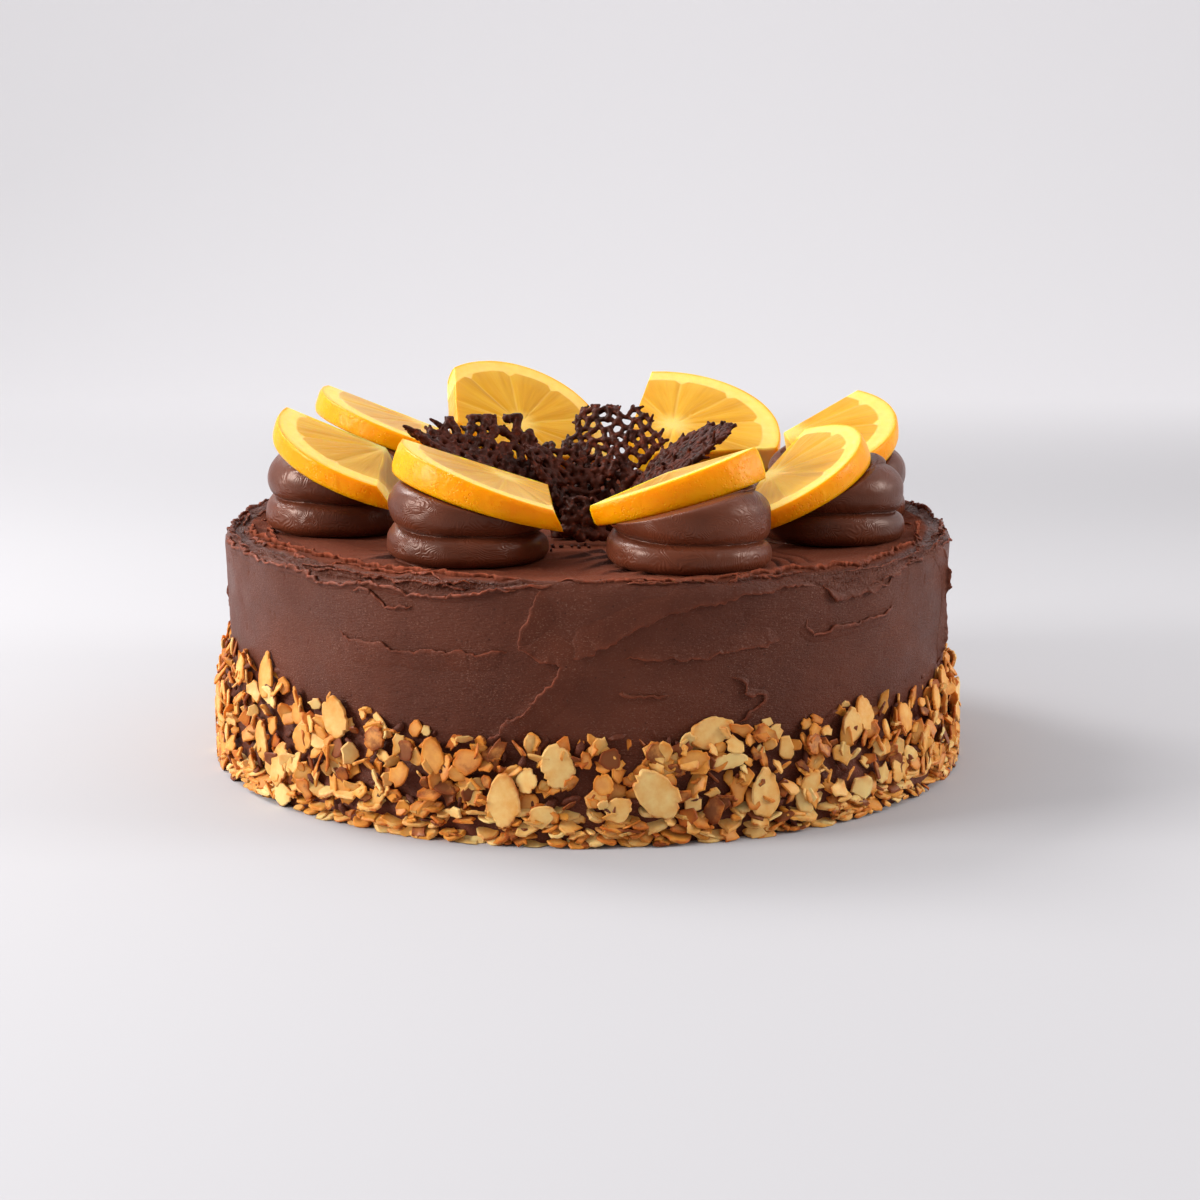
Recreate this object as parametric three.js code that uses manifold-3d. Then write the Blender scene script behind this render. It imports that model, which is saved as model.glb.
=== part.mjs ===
// A round chocolate layer cake, frosted all over, with toasted flaked almonds pressed round its
// foot. Eight piped swirls of chocolate buttercream stand in a ring on top, each with a slice of
// orange leaning on it, and a nest of dark chocolate lace stands between them.
// Millimetres, +Z up. The cake stands on z = 0 with its axis on Z, and -Y is its front.

import * as THREE from "three";
import Module from "manifold-3d";

const wasm = await Module();
wasm.setup();

const GAP = 0.3; // between two pieces that touch

const cake = {
  sideRadiusFoot: 119.4,
  sideRadiusShoulder: 120.4,
  shoulderHeight: 70,
  topHeight: 73.7,
  lipInnerRadius: 113.4,
  lipCrestRadius: 117.2,
  lipFrontRise: 0.7, // the crest's height above the top at the front, where it is lowest
  lipBackRise: 5.6, // what the crest gains towards the back
  lipRipple: 0.35,
  crestWidth: 1.8,
  crestFall: 0.5, // from the crest's outer edge to its inner one
  bevelDrop: 1, // from the crest to the edge of the side
  bevelWidth: 0.8,
  oval: 0.6, // how far the side strays from a circle, in one long wave
  uneven: 0.4, // and in shorter ones
  steps: 72, // facets round the cake, shared with the almond border
};

const almonds = {
  // the heap's height every 20 degrees, from the back round by the left and the front
  heights: [31, 32, 33, 34, 36, 38, 39, 35, 28.5, 28.5, 32, 32, 30.5, 34, 35, 33, 32, 31],
  footThickness: 7.4,
  footRise: 3,
  footTuck: 0.6, // how far the heap draws in again where it meets the ground
  bellyThickness: 7.8,
  bellyHeight: 0.5, // as a share of the heap's height
  brimThickness: 2.2,
  brimDrop: 1,
  topRoughness: 1.26,
  brimRoughness: 0.36,
  roughness: 0.54,
};

const coil = {
  radius: 24.5,
  upperPitch: 15.5, // a turn's height above the lowest turn, which is as high as its groove
  grooveDepth: 4,
  fullness: 0.97, // 1 gives each turn of the rope a half-round side
  tuck: 1.6, // how far the lowest turn draws in where it meets the cake
  tuckHeight: 4,
  shoulder: 17, // height where the swirl starts to close
  closed: 0.97, // 1 closes the swirl to a point at its full height
  narrowing: 0.04, // how much the swirl narrows with each millimetre of height
  flattening: 0.6, // how much shallower the groove gets up to the head
  windingSwing: 0.8, // makes the groove climb faster at the back than at the front
  steps: 20,
  rows: 13,
};

const rind = {
  edgeRounding: 0.7,
  arcSteps: 20,
  roomFactor: 4, // how many gaps a slice's room is wider, so that its near cuts get theirs too
};

const lace = {
  thickness: 2,
  centre: [-2, -30],
  footRadius: 6,
  footHeight: 0.6,
  flare: 0.85, // below 1, a petal leans out more towards its rim
  roughness: 0.5,
  tipRoughness: 0.03, // as a share of the petal's height
};

// One swirl and the slice that leans on it. Angles are in degrees. A slice is part of a disc
// about its core: its rind starts at the angle `turn`, sweeps through `span`, and its upper face
// dips by `tilt` towards the heading `dip`. `taper` thickens it towards its first cut. Straight
// cuts join the rind's ends by way of `corners`, each [angle, distance in radii] from the core,
// or else of the core. `below` gives the underside's own span or corners, where a cut slants.
const toppings = [
  {
    swirl: { at: [-36.5, -68], height: 31, groove: 9.6 },
    slice: { core: [-25.2, -58.8, 97.3], tilt: 20, dip: -6, turn: -176, span: 121,
      radius: 33.7, thick: 7.4, taper: 0.3, corners: [[223.5, 0.54]], below: { span: 132 } },
  },
  {
    swirl: { at: [29.9, -81], height: 31, groove: 9.2 },
    slice: { core: [24.3, -61.7, 98.9], tilt: 19.7, dip: 173, turn: 151, span: -104,
      radius: 33, thick: 7.2, taper: 0.38 },
  },
  {
    swirl: { at: [78, -27], height: 31, groove: 10.6 },
    slice: { core: [58.9, -27.5, 94.2], tilt: 28.5, dip: -157, turn: -145.5, span: -180,
      radius: 31.6, thick: 7.7, taper: 0.25, corners: [[90, 0.1]] },
  },
  {
    swirl: { at: [87, 24.5], height: 32, groove: 11 },
    slice: { core: [71.5, 28, 102.5], tilt: 22, dip: -121.5, turn: 163, span: -128,
      radius: 36.8, thick: 7.8, taper: -0.3, corners: [[116, 0.08]] },
  },
  {
    swirl: { at: [46, 76], height: 33, groove: 10 },
    slice: { core: [31.5, 62.7, 102], tilt: 25.8, dip: -81.7, turn: -177.6, span: -118,
      radius: 40, thick: 10.6, taper: 0.12, corners: [[150.5, 0.575], [114, 0.53]] },
  },
  {
    swirl: { at: [-32, 78], height: 36, groove: 10.5 },
    slice: { core: [-25.3, 73.9, 101.5], tilt: 38.4, dip: -57.3, turn: -156, span: -150,
      radius: 35.5, thick: 9.5, taper: 0.02, corners: [[128, 0.57], [60, 0.74]] },
  },
  {
    swirl: { at: [-71, 43], height: 32, groove: 10.5 },
    slice: { core: [-60.6, 62, 102.6], tilt: 20, dip: -8, turn: 176, span: 150,
      radius: 39.5, thick: 6.6, taper: 0.22, corners: [[188, 0.5]] },
  },
  {
    swirl: { at: [-83, -8], height: 33, groove: 11.2 },
    slice: { core: [-66.7, -10.8, 101], tilt: 22.2, dip: -34.5, turn: -158.6, span: 106,
      radius: 36.9, thick: 6.8, taper: 0, below: { span: 118, corners: [[138, 0.5]] } },
  },
];

// Shards of lace stand round the nest's centre like petals. `from` and `to` are their edges'
// headings, and `reach` and `rise` give the rim's distance and height at even steps from the
// first edge to the last.
const shards = [
  { name: "lace_left", from: 118, to: 190, reach: [20, 30, 39, 48, 53.5],
    rise: [18, 32, 38, 31.5, 33], columns: 13, rows: 7 },
  { name: "lace_back", from: 39, to: 98, reach: [34, 33.5, 33, 31, 27],
    rise: [31, 37, 39.5, 37, 31], columns: 11, rows: 8 },
  { name: "lace_right", from: -38, to: 32, reach: [43, 47.5, 43.5, 36, 28],
    rise: [28, 34, 38, 31, 20], columns: 13, rows: 7 },
  { name: "lace_front", from: 245, to: 297, reach: [9, 11, 9], rise: [14, 12, 14],
    footRadius: 13.5, columns: 5, rows: 5 },
  { name: "lace_heart", from: 56, to: 168, reach: [16, 18, 17], rise: [22, 29, 26],
    footRadius: 2, columns: 9, rows: 6 },
];

const material = {
  frosting: new THREE.MeshStandardMaterial({ color: "#583126", roughness: 0.5, metalness: 0 }),
  almond: new THREE.MeshStandardMaterial({ color: "#dba96a", roughness: 0.6, metalness: 0 }),
  buttercream: new THREE.MeshStandardMaterial({ color: "#45271d", roughness: 0.4, metalness: 0 }),
  orange: new THREE.MeshStandardMaterial({ color: "#f5a81c", roughness: 0.35, metalness: 0 }),
  lace: new THREE.MeshStandardMaterial({ color: "#2c1710", roughness: 0.5, metalness: 0 }),
};

const object = new THREE.Group();

function addPiece(name, geometry, look) {
  const piece = new THREE.Mesh(geometry, look);
  piece.name = name;
  object.add(piece);
}

const radians = THREE.MathUtils.degToRad;

// A repeatable value from -1 to 1 that looks random.
function scatter(...seeds) {
  const mixed = seeds.reduce((sum, seed, k) => sum + seed * (12.9898 + 65.17 * k), 4.7);
  const wave = Math.sin(mixed) * 43758.5453;
  return 2 * (wave - Math.floor(wave)) - 1;
}

// The value at t from 0 to 1 along a list of values at even steps.
function partWay(values, t) {
  const place = THREE.MathUtils.clamp(t, 0, 1) * (values.length - 1);
  const before = Math.min(Math.floor(place), values.length - 2);
  return THREE.MathUtils.lerp(values[before], values[before + 1], place - before);
}

function solid(points, triangles) {
  const geometry = new THREE.BufferGeometry();
  geometry.setAttribute("position", new THREE.Float32BufferAttribute(points.flat(), 3));
  geometry.setIndex(triangles.flat());
  return geometry;
}

function centroid(ring) {
  const sum = ring.reduce((total, p) => total.map((value, k) => value + p[k]), [0, 0, 0]);
  return sum.map((value) => value / ring.length);
}

// A solid through rings of points, each counter-clockwise seen from the end of the stack. It is
// closed by flat ends, or runs round into its first ring when `loop` is set.
function loft(rings, loop = false) {
  const count = rings[0].length;
  const points = rings.flat();
  const triangles = [];
  const last = rings.length - (loop ? 0 : 1);
  for (let i = 0; i < last; i += 1) {
    const low = i * count;
    const high = ((i + 1) % rings.length) * count;
    for (let j = 0; j < count; j += 1) {
      const next = (j + 1) % count;
      triangles.push([low + j, low + next, high + next], [low + j, high + next, high + j]);
    }
  }
  if (!loop) {
    const foot = points.push(centroid(rings[0])) - 1;
    const head = points.push(centroid(rings.at(-1))) - 1;
    const top = (rings.length - 1) * count;
    for (let j = 0; j < count; j += 1) {
      const next = (j + 1) % count;
      triangles.push([foot, next, j], [head, top + j, top + next]);
    }
  }
  return solid(points, triangles);
}

// ---- the frosted cake -------------------------------------------------------------------

function sideRadius(angle, height) {
  const rise = Math.min(height / cake.shoulderHeight, 1);
  const straight = THREE.MathUtils.lerp(cake.sideRadiusFoot, cake.sideRadiusShoulder, rise);
  return straight + cake.oval * Math.cos(2 * angle + 0.2) + cake.uneven * Math.sin(5 * angle - 1);
}

// The frosting's lip, which the spatula pushed up higher at the back.
function lipHeight(angle) {
  const back = (0.5 + 0.5 * Math.sin(angle - 0.2)) ** 1.3;
  const ripple = Math.sin(3 * angle + 1) + 0.7 * Math.sin(7 * angle + 2);
  return cake.topHeight + cake.lipFrontRise + cake.lipBackRise * back + cake.lipRipple * ripple;
}

function frostedCake() {
  const ring = (radius, height) => Array.from({ length: cake.steps }, (_, k) => {
    const angle = (2 * Math.PI * k) / cake.steps;
    const r = radius(angle);
    return [r * Math.cos(angle), r * Math.sin(angle), height(angle)];
  });
  const shoulder = (angle) => sideRadius(angle, cake.shoulderHeight);
  return loft([
    ring((a) => sideRadius(a, 0), () => 0),
    ring(shoulder, () => cake.shoulderHeight),
    ring((a) => shoulder(a) - cake.bevelWidth, (a) => lipHeight(a) - cake.bevelDrop),
    ring(() => cake.lipCrestRadius, lipHeight),
    ring(() => cake.lipCrestRadius - cake.crestWidth, (a) => lipHeight(a) - cake.crestFall),
    ring(() => cake.lipInnerRadius, () => cake.topHeight),
  ]);
}

// ---- the almond border ------------------------------------------------------------------

function heapHeight(angle) {
  const { heights } = almonds;
  const fromBack = (angle / (2 * Math.PI) + 0.75) % 1;
  const place = fromBack * heights.length;
  const before = Math.floor(place) % heights.length;
  const after = (before + 1) % heights.length;
  return THREE.MathUtils.lerp(heights[before], heights[after], place - Math.floor(place));
}

function almondBorder() {
  const sections = Array.from({ length: cake.steps }, (_, k) => {
    const angle = (2 * Math.PI * k) / cake.steps;
    const belly = almonds.bellyThickness + almonds.roughness * scatter(k, 3);
    const brim = almonds.brimThickness + almonds.brimRoughness * scatter(k, 2);
    const foot = almonds.footThickness + almonds.roughness * scatter(k, 4);
    const top = heapHeight(angle) + almonds.topRoughness * scatter(k, 1);
    const at = (thickness, height) => {
      const r = sideRadius(angle, height) + GAP + thickness;
      return [r * Math.cos(angle), r * Math.sin(angle), height];
    };
    return [
      at(0, 0),
      at(0, top),
      at(brim, top - almonds.brimDrop),
      at(belly, almonds.bellyHeight * top),
      at(foot, almonds.footRise),
      at(foot - almonds.footTuck, 0),
    ];
  });
  return loft(sections, true);
}

// ---- the orange slices ------------------------------------------------------------------

function slicePose({ core, tilt, dip, turn }) {
  const pose = new THREE.Matrix4().makeTranslation(...core);
  pose.multiply(new THREE.Matrix4().makeRotationZ(radians(dip)));
  pose.multiply(new THREE.Matrix4().makeRotationY(radians(tilt)));
  return pose.multiply(new THREE.Matrix4().makeRotationZ(radians(turn)));
}

// The slice's outline in its own plane, with the core at the origin and its rind's start on X.
function sliceOutline({ radius, span, corners = [[0, 0]] }) {
  const arc = Array.from({ length: rind.arcSteps + 1 }, (_, k) => [(span * k) / rind.arcSteps, 1]);
  const outline = [...arc, ...corners].map(([angle, distance]) => [
    radius * distance * Math.cos(radians(angle)),
    radius * distance * Math.sin(radians(angle)),
  ]);
  return span < 0 ? outline.reverse() : outline;
}

// A slice, or with `grow` the room that it takes up together with a gap all round it.
function orangeSlice(slice, grow = 0) {
  const full = 1 + (rind.roomFactor * grow) / slice.radius;
  const shrunk = full - rind.edgeRounding / slice.radius;
  const ring = (under, scale, lift) => {
    const outline = sliceOutline(under ? { ...slice, ...slice.below } : slice);
    const [middleX, middleY] = centroid(outline.map(([x, y]) => [x, y, 0]));
    return outline.map(([x, y]) => {
      const thick = slice.thick * (1 + (slice.taper * x) / slice.radius);
      const px = middleX + (x - middleX) * scale;
      const py = middleY + (y - middleY) * scale;
      return [px, py, under ? lift - thick : lift];
    });
  };
  const geometry = loft([
    ring(true, shrunk, -grow),
    ring(true, full, rind.edgeRounding - grow),
    ring(false, full, grow - rind.edgeRounding),
    ring(false, shrunk, grow),
  ]);
  return geometry.applyMatrix4(slicePose(slice));
}

// The plane of a slice's underside, lowered by the gap, as a unit normal and its offset.
function undersidePlane(slice) {
  const lean = (slice.thick * slice.taper) / slice.radius;
  const plane = new THREE.Plane(new THREE.Vector3(lean, 0, 1), slice.thick);
  plane.normalize();
  plane.constant += GAP;
  return plane.applyMatrix4(slicePose(slice));
}

// ---- the piped swirls -------------------------------------------------------------------

// Distance of the swirl's surface from its axis: a low turn of a round rope that winds up from
// the cake, then a much higher one that closes over it.
function swirlRadius(angle, height, swirl) {
  const front = angle + Math.PI / 2;
  const wound = (front - coil.windingSwing * Math.sin(front)) / (2 * Math.PI);
  const above = height - swirl.groove;
  const phase = above / (above < 0 ? swirl.groove : coil.upperPitch) + wound;
  const fromMiddle = Math.abs(2 * (phase - Math.floor(phase)) - 1);
  const tuck = coil.tuck * Math.max(0, 1 - height / coil.tuckHeight) ** 2;
  const closing = Math.max(0, (height - coil.shoulder) / (swirl.height - coil.shoulder));
  const dome = Math.sqrt(1 - coil.closed * closing ** 2);
  const envelope = coil.radius * dome - coil.narrowing * height;
  const drawnIn = 1 - Math.sqrt(1 - coil.fullness * fromMiddle ** 2);
  return envelope - coil.grooveDepth * drawnIn * (1 - coil.flattening * closing) - tuck;
}

// The swirl is pressed flat by the slice that leans on it, and dented by its neighbours' slices.
function pipedSwirl(swirl, slice) {
  const base = cake.topHeight + GAP;
  const rings = Array.from({ length: coil.rows + 1 }, (_, row) => {
    const height = (swirl.height * row) / coil.rows;
    return Array.from({ length: coil.steps }, (_, k) => {
      const angle = (2 * Math.PI * k) / coil.steps;
      const r = swirlRadius(angle, height, swirl);
      return [swirl.at[0] + r * Math.cos(angle), swirl.at[1] + r * Math.sin(angle), base + height];
    });
  });
  const pressed = undersidePlane(slice);
  const down = pressed.normal.clone().negate().toArray();
  let shape = toManifold(loft(rings)).trimByPlane(down, pressed.constant);
  for (const neighbour of toppings) {
    if (neighbour.slice !== slice) {
      shape = shape.subtract(toManifold(orangeSlice(neighbour.slice, GAP)));
    }
  }
  return fromManifold(shape);
}

function toManifold(geometry) {
  return new wasm.Manifold(new wasm.Mesh({
    numProp: 3,
    vertProperties: geometry.getAttribute("position").array,
    triVerts: Uint32Array.from(geometry.getIndex().array),
  }));
}

function fromManifold(shape) {
  const { vertProperties, triVerts } = shape.getMesh();
  const geometry = new THREE.BufferGeometry();
  geometry.setAttribute("position", new THREE.BufferAttribute(vertProperties, 3));
  geometry.setIndex(new THREE.BufferAttribute(triVerts, 1));
  return geometry;
}

// ---- the chocolate lace -----------------------------------------------------------------

// A petal of the nest, as a plate on a grid. Cells are left out as holes through the lace and as
// notches in its rim, never two that meet only at a corner.
function laceShard({ from, to, reach, rise, columns, rows, footRadius = lace.footRadius }) {
  const isOpen = (column, row) => {
    const notch = row === rows - 1 && column % 3 === 1;
    const hole = row % 2 === 0 && row >= 2 && row <= rows - 3 && column % 2 === 1;
    return notch || (hole && column < columns - 1);
  };
  const onSheet = (u, v) => {
    const angle = radians(THREE.MathUtils.lerp(from, to, u));
    const r = THREE.MathUtils.lerp(footRadius, partWay(reach, u), v);
    const height = partWay(rise, u) * v ** lace.flare;
    return new THREE.Vector3(
      lace.centre[0] + r * Math.cos(angle),
      lace.centre[1] + r * Math.sin(angle),
      cake.topHeight + GAP + lace.footHeight + height,
    );
  };
  const step = 0.01;
  const corner = (column, row, side) => {
    const u = column / columns;
    const v = row / rows;
    const along = onSheet(u + step, v).sub(onSheet(u - step, v));
    const up = onSheet(u, v + step).sub(onSheet(u, v));
    const normal = along.cross(up).normalize();
    const tip = row === rows ? lace.tipRoughness * scatter(column, rows) : 0;
    const point = onSheet(u, v + tip);
    point.addScaledVector(normal, (side * lace.thickness) / 2);
    point.z = Math.max(point.z, cake.topHeight + GAP);
    if (row > 0 && row < rows) {
      point.addScaledVector(normal, lace.roughness * scatter(column, row, 7));
    }
    return point.toArray();
  };
  const across = columns + 1;
  const layer = across * (rows + 1);
  const points = [];
  for (const side of [-1, 1]) {
    for (let row = 0; row <= rows; row += 1) {
      for (let column = 0; column <= columns; column += 1) {
        points.push(corner(column, row, side));
      }
    }
  }
  const triangles = [];
  const face = (a, b, c, d) => triangles.push([a, b, c], [a, c, d]);
  const outside = (column, row) => column < 0 || row < 0 || column >= columns || row >= rows
    || isOpen(column, row);
  for (let row = 0; row < rows; row += 1) {
    for (let column = 0; column < columns; column += 1) {
      if (isOpen(column, row)) continue;
      const a = row * across + column;
      const [b, c, d] = [a + 1, a + across + 1, a + across];
      const [a2, b2, c2, d2] = [a, b, c, d].map((index) => index + layer);
      face(a2, b2, c2, d2);
      face(d, c, b, a);
      if (outside(column, row - 1)) face(a, b, b2, a2);
      if (outside(column + 1, row)) face(b, c, c2, b2);
      if (outside(column, row + 1)) face(c, d, d2, c2);
      if (outside(column - 1, row)) face(d, a, a2, d2);
    }
  }
  const geometry = solid(points, triangles);
  return withoutSpareVertices(geometry);
}

// The grid's corners that no face uses are dropped.
function withoutSpareVertices(geometry) {
  const position = geometry.getAttribute("position");
  const renumbered = new Map();
  const points = [];
  const triangles = Array.from(geometry.getIndex().array, (index) => {
    if (!renumbered.has(index)) {
      renumbered.set(index, points.length);
      points.push([position.getX(index), position.getY(index), position.getZ(index)]);
    }
    return renumbered.get(index);
  });
  return solid(points, [triangles]);
}

// ---- the whole --------------------------------------------------------------------------

addPiece("frosted_cake", frostedCake(), material.frosting);
addPiece("almond_border", almondBorder(), material.almond);
toppings.forEach(({ swirl, slice }, k) => {
  addPiece(`swirl_${k + 1}`, pipedSwirl(swirl, slice), material.buttercream);
  addPiece(`orange_slice_${k + 1}`, orangeSlice(slice), material.orange);
});
for (const shard of shards) {
  addPiece(shard.name, laceShard(shard), material.lace);
}

export default object;
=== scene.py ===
"""The looks of a chocolate and orange layer cake, built round its CAD frame.

The cake is frosted with a palette knife, bordered with toasted almond flakes, and topped with
piped swirls, slices of orange and a nest of dark chocolate lace. Everything is in metres, with
the cake's axis on Z and its front towards -Y. Run it as a script: it makes each piece through
an operator, so that the same pieces can be made again from the panel with other settings.
"""

import math

import bpy
import numpy as np
from mathutils import Matrix, Vector
from mathutils.bvhtree import BVHTree


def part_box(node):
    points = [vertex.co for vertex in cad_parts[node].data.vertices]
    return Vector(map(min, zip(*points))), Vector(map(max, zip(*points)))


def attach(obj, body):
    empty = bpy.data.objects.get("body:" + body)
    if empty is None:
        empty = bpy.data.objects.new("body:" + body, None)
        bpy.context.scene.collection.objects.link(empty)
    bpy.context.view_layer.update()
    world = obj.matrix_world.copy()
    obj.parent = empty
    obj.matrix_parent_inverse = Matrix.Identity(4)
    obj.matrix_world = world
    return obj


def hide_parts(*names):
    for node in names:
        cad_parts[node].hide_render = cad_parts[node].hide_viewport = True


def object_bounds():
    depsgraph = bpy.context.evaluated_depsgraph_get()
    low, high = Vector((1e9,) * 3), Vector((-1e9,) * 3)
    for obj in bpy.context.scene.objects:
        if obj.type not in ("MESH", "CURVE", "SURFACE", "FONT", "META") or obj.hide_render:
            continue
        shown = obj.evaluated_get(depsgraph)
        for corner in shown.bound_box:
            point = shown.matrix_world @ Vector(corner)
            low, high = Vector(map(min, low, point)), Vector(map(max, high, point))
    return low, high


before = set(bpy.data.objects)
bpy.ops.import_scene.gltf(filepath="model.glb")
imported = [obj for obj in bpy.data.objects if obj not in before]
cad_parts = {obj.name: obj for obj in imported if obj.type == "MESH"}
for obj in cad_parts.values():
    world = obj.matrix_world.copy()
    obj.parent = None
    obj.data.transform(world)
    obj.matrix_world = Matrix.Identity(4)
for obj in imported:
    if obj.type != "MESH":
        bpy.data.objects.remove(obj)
CAD_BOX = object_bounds()

bl_info = {
    "name": "Chocolate orange cake",
    "version": (1, 0, 0),
    "blender": (4, 5, 0),
    "location": "View3D > Sidebar > Cake",
    "description": "Frosting, swirls, orange slices, lace and almonds for a layer cake",
    "category": "Object",
}

MM = 0.001
TOPPING_COUNT = 8


# ---- numbers --------------------------------------------------------------------------------


def ease(share):
    """Smooth step from 0 to 1."""
    share = np.clip(share, 0.0, 1.0)
    return share * share * (3 - 2 * share)


def smooth_noise(points, size, seed):
    """Noise from -1 to 1 at (n, 3) points, with features about `size` across."""
    cells = points / size + 31.7 * seed
    base = np.floor(cells).astype(np.int64)
    part = ease(cells - base)
    total = np.zeros(len(points))
    for corner in range(8):
        step = np.array([corner & 1, corner >> 1 & 1, corner >> 2 & 1])
        key = ((base + step) @ np.array([73856093, 19349663, 83492791]) + seed * 7919) & 0xFFFFFFFF
        key = ((key ^ (key >> 15)) * 0x2C1B3C6D) & 0xFFFFFFFF
        key = ((key ^ (key >> 12)) * 0x297A2D39) & 0xFFFFFFFF
        value = (key ^ (key >> 15)) / 2.0**31 - 1
        total += value * np.prod(np.where(step, part, 1 - part), axis=1)
    return total


def layered_noise(points, size, seed, layers=3):
    """Noise from about -1 to 1 with ever finer layers."""
    total = np.zeros(len(points))
    for layer in range(layers):
        total += smooth_noise(points, size / 2**layer, seed + layer) / 2**layer
    return total / 1.5


def rounded_path(corners, spacing):
    """A Catmull-Rom curve through (n, 2) corners, with points about `spacing` apart."""
    corners = np.asarray(corners, float)
    padded = np.vstack([2 * corners[0] - corners[1], corners, 2 * corners[-1] - corners[-2]])
    pieces = []
    for before, start, end, after in zip(padded, padded[1:], padded[2:], padded[3:]):
        count = max(2, int(np.linalg.norm(end - start) / spacing))
        t = np.linspace(0, 1, count, endpoint=False)[:, None]
        square = (2 * before - 5 * start + 4 * end - after) * t**2
        cube = (3 * start - 3 * end + after - before) * t**3
        pieces.append(0.5 * (2 * start + (end - before) * t + square + cube))
    return np.vstack(pieces + [corners[-1:]])


def pairs(first, second):
    """Every value of one list with every value of another, row after row."""
    return [axis.ravel() for axis in np.meshgrid(first, second, indexing="ij")]


def turned(radius, angle, height):
    """Points, or directions, from distances off the axis, headings and heights."""
    ground = radius * np.cos(angle), radius * np.sin(angle)
    return np.stack(np.broadcast_arrays(*ground, height), 1)


def wrapped(degrees):
    """The same turn between -180 and 180 degrees."""
    return (degrees + 180) % 360 - 180


# ---- meshes ---------------------------------------------------------------------------------


def mesh_points(piece, value="co"):
    """A piece's points in millimetres, or another value of theirs."""
    points = np.empty(len(piece.data.vertices) * 3)
    piece.data.vertices.foreach_get(value, points)
    return points.reshape(-1, 3) / (MM if value == "co" else 1)


def set_mesh_points(piece, points):
    piece.data.vertices.foreach_set("co", (points * MM).ravel())
    piece.data.update()


def cad_points(node):
    """The corners of a CAD node, in millimetres."""
    return mesh_points(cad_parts[node])


def grid_faces(rows, columns, wrap=True, start=0):
    """Quads of a grid of points, row after row, whose columns may run round into the first."""
    last = columns if wrap else columns - 1
    row, column = np.meshgrid(np.arange(rows - 1), np.arange(last), indexing="ij")
    after = (column + 1) % columns
    low = start + row * columns
    quads = [low + column, low + after, low + columns + after, low + columns + column]
    return np.stack(quads, -1).reshape(-1, 4)


def fan_faces(ring, hub, flip=False):
    """Triangles from a closed ring of points to a hub."""
    after = np.roll(ring, -1)
    order = (after, ring) if flip else (ring, after)
    return np.stack([np.full(len(ring), hub), *order], -1)


def band_faces(low, high):
    """Quads between two closed rings of points."""
    return np.stack([low, np.roll(low, -1), np.roll(high, -1), high], -1)


def capped_faces(rows, columns, start=0):
    """Faces of a tube: a grid of points whose rows run round, then a hub for each end."""
    hub = start + rows * columns
    return [
        grid_faces(rows, columns, start=start),
        fan_faces(start + np.arange(columns), hub, flip=True),
        fan_faces(hub - columns + np.arange(columns), hub + 1),
    ]


def placed(name, data):
    """A new object in the scene."""
    piece = bpy.data.objects.new(name, data)
    bpy.context.scene.collection.objects.link(piece)
    return piece


def chart_places(flat, others):
    """UV of points at places in millimetres, in tenths of a metre, and of some others."""
    return np.vstack([flat * MM * 10, np.zeros((others, 2))])


def mark_points(mesh, label, values):
    mesh.attributes.new(label, "FLOAT", "POINT").data.foreach_set("value", values)


def make_mesh(name, points, faces, marks=None, chart=None):
    """A smooth shaded object from points in millimetres. `faces` is a list of index arrays,
    `marks` holds named values for each point and `chart` each point's UV."""
    mesh = bpy.data.meshes.new(name)
    rows = [face for group in faces for face in group.tolist()]
    mesh.from_pydata((np.asarray(points) * MM).tolist(), [], rows)
    mesh.polygons.foreach_set("use_smooth", [True] * len(mesh.polygons))
    for label, values in (marks or {}).items():
        mark_points(mesh, label, values)
    if chart is not None:
        corner = np.empty(len(mesh.loops), np.int32)
        mesh.loops.foreach_get("vertex_index", corner)
        layer = mesh.uv_layers.new(name="chart")
        layer.data.foreach_set("uv", np.asarray(chart, np.float32)[corner].ravel())
    mesh.update()
    return placed(name, mesh)


def baked(source, name):
    """A plain object made from what an object's modifiers show, in place of that object."""
    bpy.context.view_layer.update()
    graph = bpy.context.evaluated_depsgraph_get()
    mesh = bpy.data.meshes.new_from_object(source.evaluated_get(graph))
    mesh.name = name
    bpy.data.objects.remove(source)
    return placed(name, mesh)


def finish_piece(piece, slot, *nodes, material=None):
    """Gives a piece its material and its body, and hides the CAD nodes that it stands for. The
    slot is not used.
    """
    if material is not None:
        piece.data.materials.clear()
        piece.data.materials.append(material)
    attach(piece, "root")
    if nodes:
        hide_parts(*nodes)


# ---- materials ------------------------------------------------------------------------------


def srgb(red, green, blue):
    """A linear colour from 8 bit values."""
    parts = [value / 255 for value in (red, green, blue)]
    linear = [p / 12.92 if p <= 0.04045 else ((p + 0.055) / 1.055) ** 2.4 for p in parts]
    return (*linear, 1.0)


class NodeTree:
    """A tree of nodes, with short ways to add to it."""

    def __init__(self, tree):
        self.tree = tree

    def add(self, kind, inputs=None, **settings):
        """A new node with its settings, and with its inputs linked or set."""
        node = self.tree.nodes.new(kind)
        for key, value in settings.items():
            setattr(node, key, value)
        for key, value in (inputs or {}).items():
            self.join(value, node.inputs[key])
        return node

    def join(self, value, socket):
        """Links a socket, or sets a plain value."""
        if isinstance(value, bpy.types.NodeSocket):
            self.tree.links.new(value, socket)
        else:
            socket.default_value = value


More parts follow.
